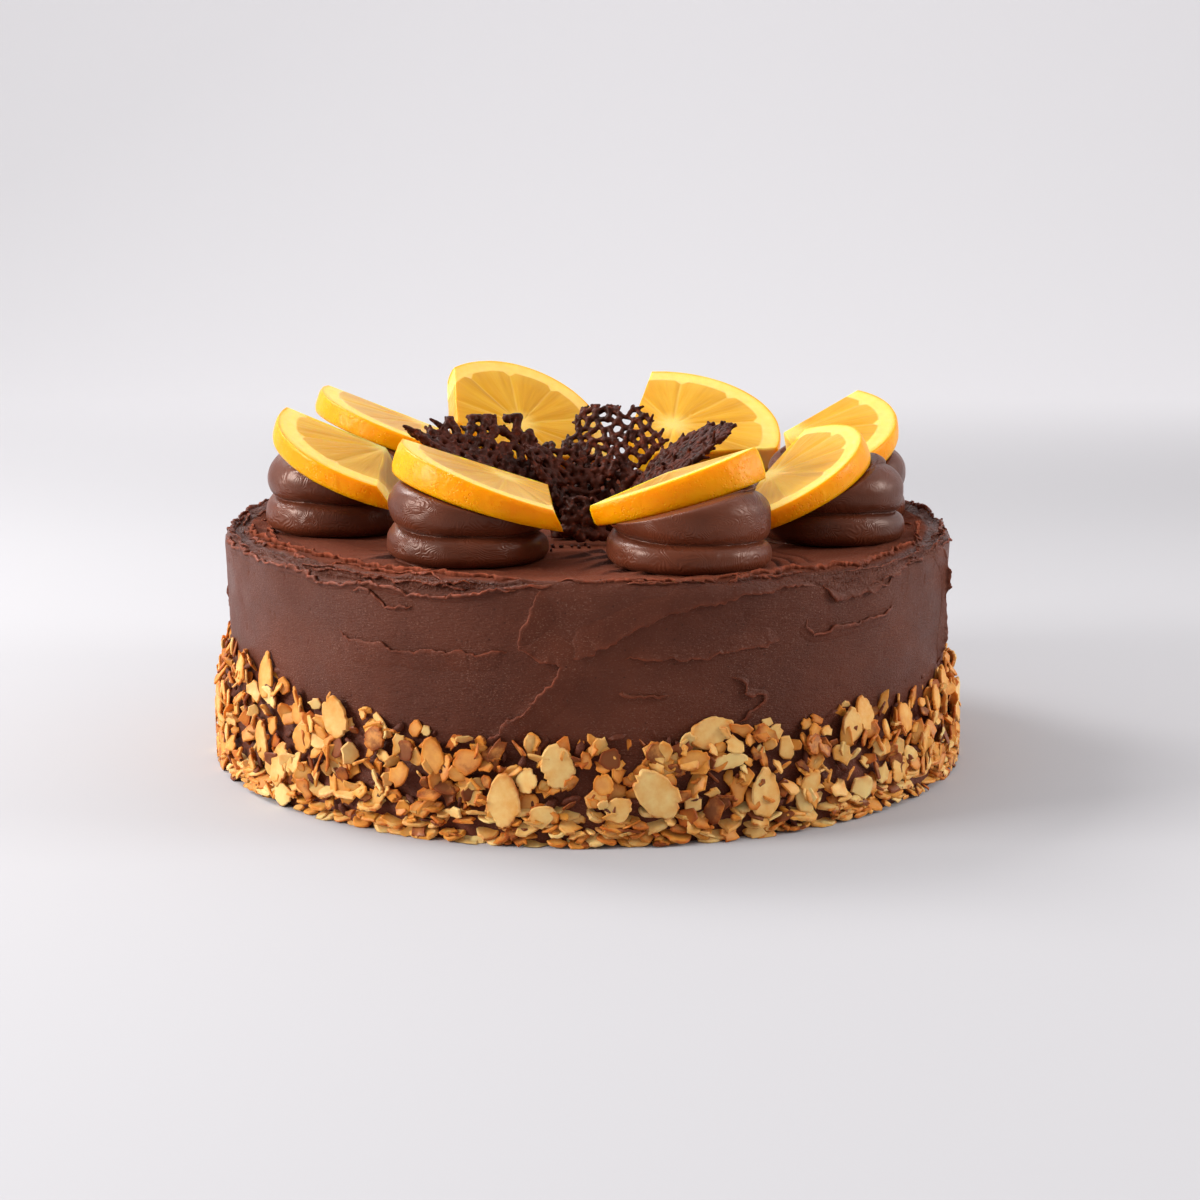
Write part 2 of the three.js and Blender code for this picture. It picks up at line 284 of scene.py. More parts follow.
class Shading(NodeTree):
    """A new material's nodes."""

    def __init__(self, name):
        self.material = bpy.data.materials.new(name)
        self.material.use_nodes = True
        super().__init__(self.material.node_tree)

    def place(self, scale=(1, 1, 1), source="Object"):
        """Object or UV coordinates, stretched by `scale`."""
        where = self.add("ShaderNodeTexCoord").outputs[source]
        return self.add("ShaderNodeMapping", {0: where, "Scale": scale}).outputs[0]

    def axes(self, where):
        """The three parts of a place."""
        return self.add("ShaderNodeSeparateXYZ", {0: where}).outputs

    def mark(self, name):
        """A value that each point of the mesh carries."""
        return self.add("ShaderNodeAttribute", attribute_name=name).outputs["Fac"]

    def noise(self, where, scale, detail, roughness=0.5, distortion=0.0):
        labels = ("Vector", "Scale", "Detail", "Roughness", "Distortion")
        inputs = dict(zip(labels, (where, scale, detail, roughness, distortion)))
        return self.add("ShaderNodeTexNoise", inputs).outputs["Fac"]

    def cells(self, where, scale):
        """Distance to the nearest of many scattered spots."""
        node = self.add("ShaderNodeTexVoronoi", {"Vector": where, "Scale": scale})
        return node.outputs["Distance"]

    def math(self, operation, first, second=0.0, third=0.0):
        inputs = dict(enumerate((first, second, third)))
        return self.add("ShaderNodeMath", inputs, operation=operation).outputs[0]

    def times(self, first, second):
        return self.math("MULTIPLY", first, second)

    def spread(self, value, low, high, to_low=0.0, to_high=1.0, smooth=True):
        """Takes `value` from the range low to high into another range, held at its ends."""
        kind = "SMOOTHSTEP" if smooth else "LINEAR"
        inputs = dict(enumerate((value, low, high, to_low, to_high)))
        return self.add("ShaderNodeMapRange", inputs, interpolation_type=kind).outputs[0]

    def mix(self, share, first, second, blend="MIX"):
        inputs = {"Factor": share, 6: first, 7: second}
        return self.add("ShaderNodeMix", inputs, data_type="RGBA", blend_type=blend).outputs[2]

    def ramp(self, value, *stops):
        node = self.add("ShaderNodeValToRGB", {0: value})
        elements = node.color_ramp.elements
        while len(elements) < len(stops):
            elements.new(0.5)
        for element, (position, colour) in zip(elements, stops):
            element.position = position
            element.color = colour
        return node.outputs[0]

    def bump(self, height, strength, distance, below=None):
        """Relief from a height, over the relief below it."""
        inputs = {"Height": height, "Strength": strength, "Distance": distance}
        if below is not None:
            inputs["Normal"] = below
        return self.add("ShaderNodeBump", inputs).outputs[0]

    def finish(self, **inputs):
        """Sets the shader's inputs by name, with _ for a space, and returns the material."""
        shader = self.tree.nodes["Principled BSDF"]
        for name, value in inputs.items():
            self.join(value, shader.inputs[name.replace("_", " ")])
        return self.material


# ---- the frosting ---------------------------------------------------------------------------

# All in millimetres but the first.
SIDE_COLUMNS = 1000  # points round the side
RING = 120.4  # radius at which the frosting's chart is unrolled
OVER_LIP = 8.0  # travel from the side's shoulder up to the crest of the lip
CREST_OUT = 0.6  # how far the crest lies outside the CAD's
FLAT_RADIUS = 106  # radius inside which the top is flat
LIP_JOINT = 104.0  # radius where the side's piece and the top's piece meet

# The knife's edges: where one stroke's sheet of frosting ends over another. Each is a path of
# (degrees from the front, millimetres up the side and on over the lip), the step's height, and
# the side of the path that stands proud (1 is its left).
KNIFE_EDGES = [
    ([(-6, 74), (-7, 69), (-9, 56), (-4, 51.5), (-5, 46), (-13, 30), (-17, 24)], 1.25, 1),
    ([(-4, 51.5), (3, 58), (8, 63), (14, 67), (23, 70.5), (34, 71)], 0.8, 1),
    ([(34, 70), (37, 66.5), (43, 67), (50, 71), (58, 74)], 1.0, 1),
    ([(4, 52.3), (14, 52), (22, 54), (28, 57)], 0.45, 1),
    ([(32, 62.5), (32, 58.5), (36, 57), (50, 60)], 0.6, -1),
    ([(20, 46.5), (22, 44), (22, 41.5), (25, 39.5), (21, 33)], 0.6, 1),
    ([(4, 44), (6, 42), (11, 41)], 0.4, 1),
    ([(-37, 57.5), (-36, 55.5), (-29, 54.2), (-22, 53.5), (-10, 55)], 0.55, -1),
    ([(-35, 69), (-32, 70.3), (-28, 66.2), (-24, 67)], 0.7, -1),
    ([(-84, 82), (-66, 86), (-52, 90), (-40, 90), (-31, 87), (-18, 82), (-6, 77)], 1.1, 1),
    ([(-80, 73), (-60, 73), (-48, 73), (-39, 70.8), (-30, 71.8), (-24, 70.4), (-18, 70.4),
      (-13, 72.3), (-7, 75.4)], 1.1, -1),
    ([(-72, 81), (-62, 83), (-54, 84), (-47, 82)], 0.7, 1),
    ([(-44, 83), (-36, 84), (-28, 82), (-20, 79)], 0.6, 1),
    ([(-44, 75), (-34, 75.4), (-25, 73.8), (-14, 75)], 0.7, 1),
    ([(-5, 77), (6, 78.5), (16, 80), (24, 81)], 0.6, 1),
    ([(20, 80), (32, 81), (43, 80), (54, 82), (70, 84)], 1.0, 1),
    ([(38, 76), (46, 75), (56, 77), (66, 79)], 0.7, -1),
    ([(60, 76), (66, 73), (69, 66), (70, 50), (68, 34)], 1.5, -1),
]

# The rough bevel round the lip: degrees from the front, and the travel up the side at which it
# starts and ends.
BEVEL = np.array([
    (-180, 73, 82), (-150, 72, 83), (-120, 73.5, 82), (-90, 72.5, 83), (-60, 73, 83),
    (-48, 73, 83), (-38.6, 70.6, 83), (-30.6, 71.8, 82), (-24.5, 70.3, 81), (-18.6, 70.3, 80),
    (-13, 72.3, 79), (-8, 75.2, 78), (-5, 77, 77), (6, 78, 78), (12, 77, 79.5), (20, 72, 80.2),
    (32, 71.2, 81), (37, 67, 80.5), (43, 67.2, 80), (50, 71, 81.2), (58, 72.5, 82.5),
    (70, 73, 84), (90, 72, 83), (120, 73.5, 82), (150, 72.5, 84), (180, 73, 82),
])


class CakeForm:
    """The plain form of the frosted cake, read from its CAD node, and the relief on it."""

    def __init__(self):
        points = cad_points("frosted_cake")
        radius = np.hypot(points[:, 0], points[:, 1])
        angle = np.arctan2(points[:, 1], points[:, 0])
        outer = radius > 0.5 * radius.max()
        self.crest = self._round(points, angle, radius, self._highest(points, angle, outer))
        self.foot = self._round(points, angle, radius, outer & (points[:, 2] < 1))
        rim = radius[points[:, 2] == points[:, 2][outer].max()]
        inside = outer & (radius < rim.min() - 3)
        self.top = float(points[inside, 2].mean())
        middle = outer & (points[:, 2] > 1) & (points[:, 2] < self.top - 2)
        self.shoulder = self._round(points, angle, radius, middle)
        self.shoulder_height = float(points[middle, 2].mean())
        self.cad_crest = float(self.crest[1].mean())

    @staticmethod
    def _highest(points, angle, outer):
        """Marks the highest corner at each heading."""
        heading = np.round(angle, 2)
        chosen = np.zeros(len(points), bool)
        for value in np.unique(heading[outer]):
            here = np.flatnonzero(outer & (heading == value))
            chosen[here[np.argmax(points[here, 2])]] = True
        return chosen

    @staticmethod
    def _round(points, angle, radius, chosen):
        order = np.argsort(angle[chosen])
        return angle[chosen][order], radius[chosen][order], points[chosen, 2][order]

    @staticmethod
    def _at(ring, angle, column):
        return np.interp(angle, ring[0], ring[column], period=2 * math.pi)

    def side_radius(self, angle, height):
        share = np.clip(height / self.shoulder_height, 0, 1)
        foot = self._at(self.foot, angle, 1)
        return foot + (self._at(self.shoulder, angle, 1) - foot) * share

    def profile(self, angle, travel):
        """Radius and height after `travel` up the side, over the lip and in over the top."""
        shoulder = self.shoulder_height
        crest_radius = self.cad_crest + CREST_OUT
        crest = self._at(self.crest, angle, 2)
        rise = np.clip((travel - shoulder) / OVER_LIP, 0, 1) * math.pi / 2
        fall = ease((travel - shoulder - OVER_LIP) / (crest_radius - FLAT_RADIUS))
        edge = self.side_radius(angle, np.minimum(travel, shoulder))
        radius = crest_radius + (edge - crest_radius) * np.cos(rise)
        height = np.minimum(travel, shoulder) + (crest - shoulder) * np.sin(rise)
        height = height + (self.top - crest) * fall
        radius = radius - np.maximum(0, travel - shoulder - OVER_LIP)
        return radius, height

    def travel_at(self, radius):
        """The travel at which the top has a given radius."""
        return self.shoulder_height + OVER_LIP + self.cad_crest + CREST_OUT - radius


def drawn_edges():
    """The knife's edges all round the cake: the listed ones, and more by the same hand."""
    edges = [(np.array(path, float), step, proud) for path, step, proud in KNIFE_EDGES]
    rng = np.random.default_rng(11)
    # Strokes up the sides and the back.
    for start in np.arange(84, 278, 15.0):
        base = start + rng.uniform(-5, 5)
        low = rng.uniform(22, 52)
        slant = rng.uniform(-1, 1)
        length = rng.uniform(14, 34)
        share = np.linspace(0, 1, 5)
        path = np.stack([base + length * share, low + (72 - low) * share * abs(slant)], 1)
        path[:, 1] += 6 * np.sin(share * rng.uniform(3, 7)) + rng.uniform(-2, 2, 5)
        path[:, 0] += rng.uniform(-2, 2, 5)
        path[:, 1] = np.clip(path[:, 1], 14, 73)
        edges.append((path, rng.uniform(0.4, 1.1), rng.choice([-1, 1])))
    # Two rows of strokes along the lip, one on the top and one on its rounded edge.
    for start in np.arange(66, 276, 20.0):
        share = np.linspace(0, 1, 6)
        inner = 82 + rng.uniform(0, 6) + 3 * np.sin(share * rng.uniform(2, 6))
        edges.append((np.stack([start + 24 * share, inner], 1), rng.uniform(0.8, 1.2), 1))
        outer = 77 + rng.uniform(-1, 1, 6)
        edges.append((np.stack([start + 4 + 22 * share, outer], 1), rng.uniform(0.8, 1.2), -1))
    # Short tears in the bevel.
    for _ in range(46):
        start, length = rng.uniform(-180, 180), rng.uniform(3, 9)
        low, high = (np.interp(start, BEVEL[:, 0], BEVEL[:, k]) for k in (1, 2))
        share = np.linspace(0, 1, 4)
        height = rng.uniform(low - 1, high + 1) + rng.uniform(-1.5, 1.5) * (share - 0.5)
        path = np.stack([start + length * share, height + rng.uniform(-0.5, 0.5, 4)], 1)
        edges.append((path, rng.uniform(0.45, 0.85), rng.choice([-1, 1])))
    return edges


def chart_line(path):
    """An edge's path as a smooth line on the chart, in millimetres."""
    on_chart = np.stack([np.radians(path[:, 0]) * RING, path[:, 1]], 1)
    return rounded_path(on_chart, 0.4)


def ragged(line, seed):
    """A line that is torn a little from side to side."""
    spots = np.column_stack([line, np.full(len(line), 9.0 * seed)])
    torn = line.copy()
    torn[:, 0] += 2.0 * layered_noise(spots, 5.6, 21, 4)
    torn[:, 1] += 2.1 * layered_noise(spots, 5.0, 22, 4)
    torn += 0.9 * np.stack([layered_noise(spots, 1.5, seed, 2) for seed in (23, 24)], 1)
    return torn


def bevel_share(from_front, travel):
    """How far a place lies in the bevel round the lip, from 0 to 1."""
    low = np.interp(from_front, BEVEL[:, 0], BEVEL[:, 1])
    high = np.interp(from_front, BEVEL[:, 0], BEVEL[:, 2])
    return ease((travel - low) / 1.3) * ease((high - travel) / 1.3)


def edge_relief(chart, edges):
    """How far the frosting swells on the proud side of the knife's edges, at (n, 2) places."""
    height = np.zeros(len(chart))
    reach = 16.0
    around = 2 * math.pi * RING
    for path, step, proud in edges:
        line = chart_line(path)[::4]
        middle = 0.5 * (line[:, 0].min() + line[:, 0].max())
        along = (chart[:, 0] - middle + around / 2) % around - around / 2 + middle
        near = (along > line[:, 0].min() - reach) & (along < line[:, 0].max() + reach)
        near &= (chart[:, 1] > line[:, 1].min() - reach) & (chart[:, 1] < line[:, 1].max() + reach)
        spots = np.flatnonzero(near)
        if not len(spots):
            continue
        place = np.stack([along[spots], chart[spots, 1]], 1)
        offset = place[:, None, :] - line[None, :, :]
        distance = np.hypot(offset[..., 0], offset[..., 1])
        nearest = np.argmin(distance, 1)
        off = offset[np.arange(len(spots)), nearest]
        turn = np.gradient(line, axis=0)[nearest]
        turn /= np.linalg.norm(turn, axis=1)[:, None]
        side = (turn[:, 0] * off[:, 1] - turn[:, 1] * off[:, 0]) * proud
        gap = distance[np.arange(len(spots)), nearest]
        share = nearest / len(line)
        taper = ease(share / 0.15) * ease((1 - share) / 0.15)
        height[spots] += 0.4 * step * taper * np.tanh(side / 1.5) * np.exp(-gap / 6)
    return height


def frosting_relief(form, angle, travel, edges):
    """How far the frosting stands off its plain form."""
    radius, height = form.profile(angle, travel)
    spots = turned(radius, angle, height)
    from_front = wrapped(np.degrees(angle) + 90)
    chart = np.stack([np.radians(from_front) * RING, travel], 1)
    relief = edge_relief(chart, edges)
    stretched = spots * np.array([1, 1, 2.4])
    relief += 0.55 * layered_noise(stretched, 46, 3, 2)
    relief += 0.12 * layered_noise(stretched, 9, 5, 2)
    streak = np.stack([chart[:, 0] / 9, chart[:, 1] + 0.08 * chart[:, 0], chart[:, 0] * 0], 1)
    relief += 0.06 * layered_noise(streak, 1.7, 7, 2)
    lip = ease((form.travel_at(LIP_JOINT) - travel) / 7)
    lip = ease((travel - form.shoulder_height) / 5) * lip
    relief += 0.8 * lip * layered_noise(spots, 5.5, 13, 3)
    bevel = bevel_share(from_front, travel)
    along_lip = np.stack([chart[:, 0] / 3.5, travel, 0 * travel], 1)
    relief += bevel * (0.9 * layered_noise(along_lip, 1.9, 19, 3) - 0.8)
    pits = smooth_noise(spots, 2.1, 17)
    relief -= 0.3 * ease((pits - 0.66) / 0.3)
    return relief


def outward(form, angle, travel):
    """Unit vectors off the cake's plain form, in the plane through its axis."""
    step = 0.4
    low = form.profile(angle, travel - step)
    high = form.profile(angle, travel + step)
    run, rise = high[0] - low[0], high[1] - low[1]
    size = np.hypot(run, rise)
    return rise / size, -run / size


def frosting_side(form, edges):
    """The frosting on the side and over the lip, as a thick ring. Gives the places of the skin's
    grid and the travels of its rows too."""
    joint = form.travel_at(LIP_JOINT)
    shoulder = form.shoulder_height
    rows = np.concatenate([
        np.linspace(0, shoulder, 82, endpoint=False),
        np.linspace(shoulder, joint, 42),
    ])
    headings = np.linspace(0, 2 * math.pi, SIDE_COLUMNS, endpoint=False)
    travel, angle = pairs(rows, headings)
    relief = frosting_relief(form, angle, travel, edges) * ease((travel + 2) / 6)
    radius, height = form.profile(angle, travel)
    off, up = outward(form, angle, travel)
    radius = radius + relief * off
    height = np.maximum(height + relief * up, 0)
    skin = turned(radius, angle, height)
    wall = [turned(LIP_JOINT - 0.6, headings, level) for level in (form.top - 3, 0.0)]
    points = np.vstack([skin, *wall])
    count = len(rows) + 2
    first = np.arange(SIDE_COLUMNS)
    closing = band_faces((count - 1) * SIDE_COLUMNS + first, first)
    faces = [grid_faces(count, SIDE_COLUMNS), closing]
    inside = 2 * SIDE_COLUMNS
    chart = chart_places(np.stack([angle * RING, travel], 1), inside)
    bevel = bevel_share(wrapped(np.degrees(angle) + 90), travel)
    marks = {"bevel": np.append(bevel, np.zeros(inside))}
    side = make_mesh("frosting_side", points, faces, marks, chart)
    return skin.reshape(len(rows), SIDE_COLUMNS, 3), rows, side


# Steps that the knife left in the top at the front: from where to where, in millimetres. Each is
# highest near its far end.
TOP_STEPS = [
    (-8, -84.5, 9, -69), (-6, -95.6, 11, -74), (0.7, -105, 14, -90), (-4, -66.6, 5, -60),
    (-13, -78, 0, -67), (6, -110, 18, -99), (-70, -74, -58, -69), (-64, -62, -52, -60),
]
# Ripples beside a swirl at the front: their middle, then the radius and the depth of each.
SWIRL_RIPPLES = [(30, -79), (27.2, 0.9), (31.8, 0.8), (37, 0.5)]


def top_marks(spots):
    """The knife's marks on the flat of the top, and how much shade is painted into them."""
    x, y = spots[:, 0], spots[:, 1]
    raised, dark = np.zeros(len(spots)), np.zeros(len(spots))
    rng = np.random.default_rng(45)
    # Each mark: from and to, how high it is, and which of its sides stands up (1 is its left).
    marks = [(*mark, 1.7, 1.0) for mark in TOP_STEPS]
    for _ in range(70):
        reach, turn = LIP_JOINT * math.sqrt(rng.random()), rng.uniform(0, 2 * math.pi)
        from_x, from_y = reach * math.cos(turn), reach * math.sin(turn)
        lean = rng.normal(0, 0.35)
        length = rng.uniform(9, 24)
        end = from_x + length * math.cos(lean), from_y + length * math.sin(lean)
        marks.append((from_x, from_y, *end, rng.uniform(0.3, 0.8), rng.choice([-1, 1])))
    for from_x, from_y, to_x, to_y, height, front in marks:
        ahead = np.array([to_x - from_x, to_y - from_y], float)
        length = np.linalg.norm(ahead)
        ahead /= length
        along = (x - from_x) * ahead[0] + (y - from_y) * ahead[1]
        bow = 0.9 * np.sin(along / length * 3.1)
        across = front * ((y - from_y) * ahead[0] - (x - from_x) * ahead[1] - bow)
        share = along / length
        held = ease(share) * ease((1.12 - share) / 0.14)
        rise = 1 / (1 + np.exp(-np.clip(across / 0.3, -30, 30)))
        raised += height * held * rise * np.exp(-np.maximum(across, 0) / 4.5)
        # Painted shade along the low side of each mark's step.
        dark = np.maximum(dark, height * held * np.exp(-(((across + 0.25) / 0.8) ** 2)))
    # The ripples beside a swirl, with shade painted into their grooves.
    middle_x, middle_y = SWIRL_RIPPLES[0]
    away = np.hypot(x - middle_x, y - middle_y)
    heading = np.arctan2(y - middle_y, x - middle_x)
    held = np.exp(-((heading / 0.75) ** 4))
    for reach, depth in SWIRL_RIPPLES[1:]:
        wavy = reach + 0.6 * smooth_noise(spots, 9, 41)
        groove = depth * held * np.exp(-(((away - wavy) / 0.7) ** 2))
        raised -= groove
        dark = np.maximum(dark, 1.3 * groove)
    # A broad sweep round the top, under all the marks.
    turn = np.arctan2(y, x)
    sweep = np.stack([np.hypot(x, y) + 9 * np.sin(turn * 2), turn * 16, 0 * x], 1)
    return 0.45 * layered_noise(sweep, 7, 43, 3) + np.minimum(raised, 1.9) - 0.4, dark


def frosting_top(form, edges):
    """The frosting on the flat top and the cake's middle under it, down to the flat foot. The
    rings thin out towards the middle."""
    rings, counts = [], []
    radius, count = LIP_JOINT + 0.5, 720
    while radius > 2:
        rings.append(radius)
        counts.append(count)
        if count > 45 and radius < LIP_JOINT * count / 1440:
            count //= 2
        radius -= 0.85 * max(1.0, 360 / count * 0.8)
    angle = np.concatenate([np.arange(c) * 2 * math.pi / c for c in counts])
    distance = np.repeat(rings, counts)
    travel = form.travel_at(distance)
    relief = frosting_relief(form, angle, travel, edges)
    spots = turned(distance, angle, 0)
    flat = ease((distance - LIP_JOINT + 4) / 4)
    height = form.profile(angle, travel)[1] + relief * flat
    marks, dark = top_marks(spots)
    height += (1 - flat) * (0.25 * relief + marks)
    height -= 0.06 * (distance > LIP_JOINT)
    skin = np.column_stack([spots[:, :2], height])
    starts = np.concatenate([[0], np.cumsum(counts)])
    faces = []
    for ring in range(len(rings) - 1):
        outer = starts[ring] + np.arange(counts[ring])
        inner = starts[ring + 1] + np.arange(counts[ring + 1])
        if counts[ring] == counts[ring + 1]:
            faces.append(band_faces(outer, inner))
        else:
            low, middle = outer[::2], outer[1::2]
            high, after = np.roll(low, -1), np.roll(inner, -1)
            for corners in ((low, middle, inner), (middle, after, inner), (middle, high, after)):
                faces.append(np.stack(corners, -1))
    hub = len(skin)
    last = starts[-2] + np.arange(counts[-1])
    faces.append(fan_faces(last, hub))
    under = hub + 1 + np.arange(counts[0])
    narrow = (LIP_JOINT - 0.7) / (LIP_JOINT + 0.5)
    base = np.column_stack([narrow * skin[: counts[0], :2], np.zeros(counts[0])])
    faces.append(band_faces(under, np.arange(counts[0])))
    faces.append(fan_faces(under, hub + 1 + counts[0], flip=True))
    middle = [[0, 0, float(height[last].mean())]]
    points = np.vstack([skin, middle, base, [[0, 0, 0]]])
    extra = len(points) - len(skin)
    chart = chart_places(spots[:, :2], extra)
    # Painted shade in the marks' grooves, which the material reads as the groove mark.
    groove = np.append(np.clip(0.85 * dark * (1 - flat), 0, 0.8), np.zeros(extra))
    return make_mesh("frosting_top", points, faces, {"groove": groove}, chart)


# The cross-section of a sheet of frosting from its edge inwards: the distance from the edge in
# millimetres, the height in steps, and how thin the frosting is there, which sets how much
# painted glow and highlight its thin edge takes.
SHEET_SECTION = [
    (0.15, -0.6, 0), (-0.05, 0.2, 0.2), (-0.26, 0.75, 0.7), (-0.14, 1.08, 1), (0.2, 1.14, 0.45),
    (0.75, 0.94, 0.1), (2, 0.7, 0), (4.4, 0.4, 0), (7.4, 0.12, 0), (9.4, -0.5, 0), (4, -0.7, 0),
]
LIP_TRAVEL = 70  # sheets above this lie by the lip and are narrow


def on_skin(skin, rows, chart):
    """Places on the frosting's skin at (n, 2) places on the chart."""
    columns = skin.shape[1]
    column = ((chart[:, 0] / RING - math.pi / 2) / (2 * math.pi) * columns) % columns
    row = np.interp(chart[:, 1], rows, np.arange(len(rows)))
    left = np.floor(column).astype(int) % columns
    low = np.minimum(np.floor(row).astype(int), len(rows) - 2)
    right = (left + 1) % columns
    across = (column - np.floor(column))[:, None]
    up = (row - low)[:, None]
    below = skin[low, left] * (1 - across) + skin[low, right] * across
    above = skin[low + 1, left] * (1 - across) + skin[low + 1, right] * across
    return below * (1 - up) + above * up


def frosting_sheets(form, edges, skin, rows):
    """The torn edges of the sheets of frosting that the knife laid over one another."""
    points, faces, thin, bevel = [], [], [], []
    sides = len(SHEET_SECTION)
    start = 0
    for seed, (path, step, proud) in enumerate(edges):
        line = chart_line(path)
        torn = ragged(line, seed)
        # Inwards is at right angles to the line once its bends are evened out.
        window = np.ones(21) / 21
        padded = np.pad(line, ((10, 10), (0, 0)), "reflect", reflect_type="odd")
        even = np.stack([np.convolve(padded[:, k], window, "valid") for k in (0, 1)], 1)
        ahead = np.gradient(even, axis=0)
        ahead /= np.linalg.norm(ahead, axis=1)[:, None]
        inward = proud * np.stack([-ahead[:, 1], ahead[:, 0]], 1)
        share = np.linspace(0, 1, len(line))
        taper = ease(share / 0.12) * ease((1 - share) / 0.12)
        spots = np.column_stack([line, np.full(len(line), 3.0 * seed)])
        short = min(1.0, len(line) / 160) ** 1.5
        size = 1.5 * step * taper * (0.8 + 0.6 * layered_noise(spots, 3.1, 31, 3))
        wide = 0.75 + 0.4 * layered_noise(spots, 11, 32, 2)
        at_lip = line[:, 1].mean() > LIP_TRAVEL
        # The section follows the torn line at the edge, and the smooth one further in.
        ring, share_of_bevel = [], []
        for away, high, _ in SHEET_SECTION:
            torn_share = math.exp(-abs(away) / 1.1)
            wider = short * (wide * taper + 0.12) if away > 1 else 0.4 + 0.6 * taper
            if away > 1 and at_lip:
                wider = 0.3 * wider
            spread = away * wider
            place = line + torn_share * (torn - line) + inward * np.reshape(spread, (-1, 1))
            place[:, 1] = np.clip(place[:, 1], 0.5, rows[-1] - 0.3)
            angle = place[:, 0] / RING - math.pi / 2
            off, up = outward(form, angle, place[:, 1])
            normal = turned(off, angle, up)
            tall = torn_share * size + (1 - torn_share) * step * taper
            lift = np.where(high > 0, high * tall - 0.12 * (1 - taper), high)
            ring.append(on_skin(skin, rows, place) + normal * lift[:, None])
            from_front = wrapped(np.degrees(place[:, 0] / RING))
            share_of_bevel.append(bevel_share(from_front, place[:, 1]))
        ring = np.stack(ring, 1).reshape(-1, 3)
        points.append(np.vstack([ring, ring[:sides].mean(0), ring[-sides:].mean(0)]))
        closed = capped_faces(len(line), sides, start)
        faces += [part if proud < 0 else part[:, ::-1] for part in closed]
        # Painted glow and highlight: thin edges take a lighter, redder colour through the edge
        # mark, fullest at the lip.
        shine = 1.0 if at_lip else 0.6
        bright = [shine * part[2] for part in SHEET_SECTION]
        thin.append(np.append(np.tile(bright, len(line)), [0, 0]))
        bevel.append(np.append(np.stack(share_of_bevel, 1).ravel(), [0, 0]))
        start += len(ring) + 2
    marks = {"edge": np.concatenate(thin), "bevel": np.concatenate(bevel)}
    return make_mesh("frosting_knife_edges", np.vstack(points), faces, marks)


def frosting_material(settings):
    look = Shading("chocolate_frosting")
    where = look.place()
    chart = look.place((1, 7, 1), "UV")
    tone = look.noise(where, 30, 4, 0.6)
    base = look.mix(look.spread(tone, 0.3, 0.7), settings.shade, settings.colour)
    x, y, z = look.axes(where)
    from_axis = look.math("SQRT", look.math("MULTIPLY_ADD", x, x, look.times(y, y)))
    # Painted light: the top takes a lighter, warmer tone for the light that falls on it from
    # above, up to the lip and not on its rough bevel.
    on_top = look.spread(from_axis, 0.1162, 0.1182, 0.75, 0)
    on_top = look.times(on_top, look.spread(z, 0.07, 0.072))
    bevel = look.mark("bevel")
    on_top = look.times(on_top, look.math("SUBTRACT", 1.0, bevel))
    base = look.mix(on_top, base, settings.lit_top_colour)
    # Painted shade: the frosting darkens in the knife's grooves on the top.
    base = look.mix(look.mark("groove"), base, settings.shade, "MULTIPLY")
    # Painted highlights: pale flecks, in patches, that stand for tiny glints on the frosting.
    glint_flecks = look.spread(look.noise(look.place((1, 1, 2)), 1700, 3, 0.6), 0.56, 0.7, 0, 0.6)
    patchy = look.spread(look.noise(where, 34, 3), 0.36, 0.6, 0.4, 1)
    glint_flecks = look.times(glint_flecks, patchy)
    base = look.mix(glint_flecks, base, settings.glint_colour)
    # Painted shade: small dark spots for the shade inside tiny pits.
    pit_shade = look.spread(look.cells(where, 330), 0.04, 0.13, 0.5, 0)
    base = look.mix(pit_shade, base, settings.shade, "MULTIPLY")
    # Painted glow and highlight on thin edges of frosting, and on the proud ridges of the almonds'
    # frosting.
    edge = look.mark("edge")
    glow = look.times(edge, look.spread(look.noise(where, 260, 3), 0.4, 0.65, 0.3, 1))
    colour = look.mix(glow, base, settings.edge_colour)
    streaks = look.noise(chart, 40, 5, 0.65, 0.5)
    grain = look.noise(look.place((1, 1, 1.7)), 950, 4, 0.65)
    pits = look.spread(look.cells(where, 300), 0.05, 0.18)
    coarse = look.times(look.noise(where, 900, 3, 0.6), bevel)
    relief = look.bump(pits, 0.3, 0.0004, look.bump(streaks, 0.5, 0.0008))
    relief = look.bump(grain, 0.9, 0.0004, relief)
    relief = look.bump(coarse, 1.0, 0.0012, relief)
    gloss = look.spread(look.noise(where, 55, 4, 0.6), 0.3, 0.7, 0.36, 0.54)
    gloss = look.math("MULTIPLY_ADD", on_top, 0.6, gloss)
    gloss = look.math("MULTIPLY_ADD", bevel, -0.12, gloss)
    return look.finish(
        Base_Color=colour,
        Roughness=gloss,
        Normal=relief,
        Subsurface_Weight=0.1,
        Subsurface_Scale=0.0015,
        Subsurface_Radius=(1.0, 0.35, 0.2),
        Specular_IOR_Level=0.26,
        Specular_Tint=(1.0, 0.78, 0.68, 1.0),
        IOR=1.45,
    )


# ---- the orange slices ----------------------------------------------------------------------

EDGE_ROUNDING = 0.7  # how far below a slice's cut face its full outline lies, in millimetres
RIND_STEPS = 130  # points along the rind
CUT_STEPS = 120  # points along the straight cuts
ON_RIND = 0.97  # share of the radius outside which an outline's corner is on the rind
SEGMENTS = 10  # in a whole orange
SEGMENT_TURN = 0.17  # how far each slice's segments are turned on from the last one's, in segments


def circle_through(places):
    """Centre and radius of the circle that fits a set of places best."""
    lines = np.column_stack([2 * places, np.ones(len(places))])
    fit = np.linalg.lstsq(lines, (places**2).sum(1), rcond=None)[0]
    return fit[:2], math.sqrt(fit[2] + fit[:2] @ fit[:2])


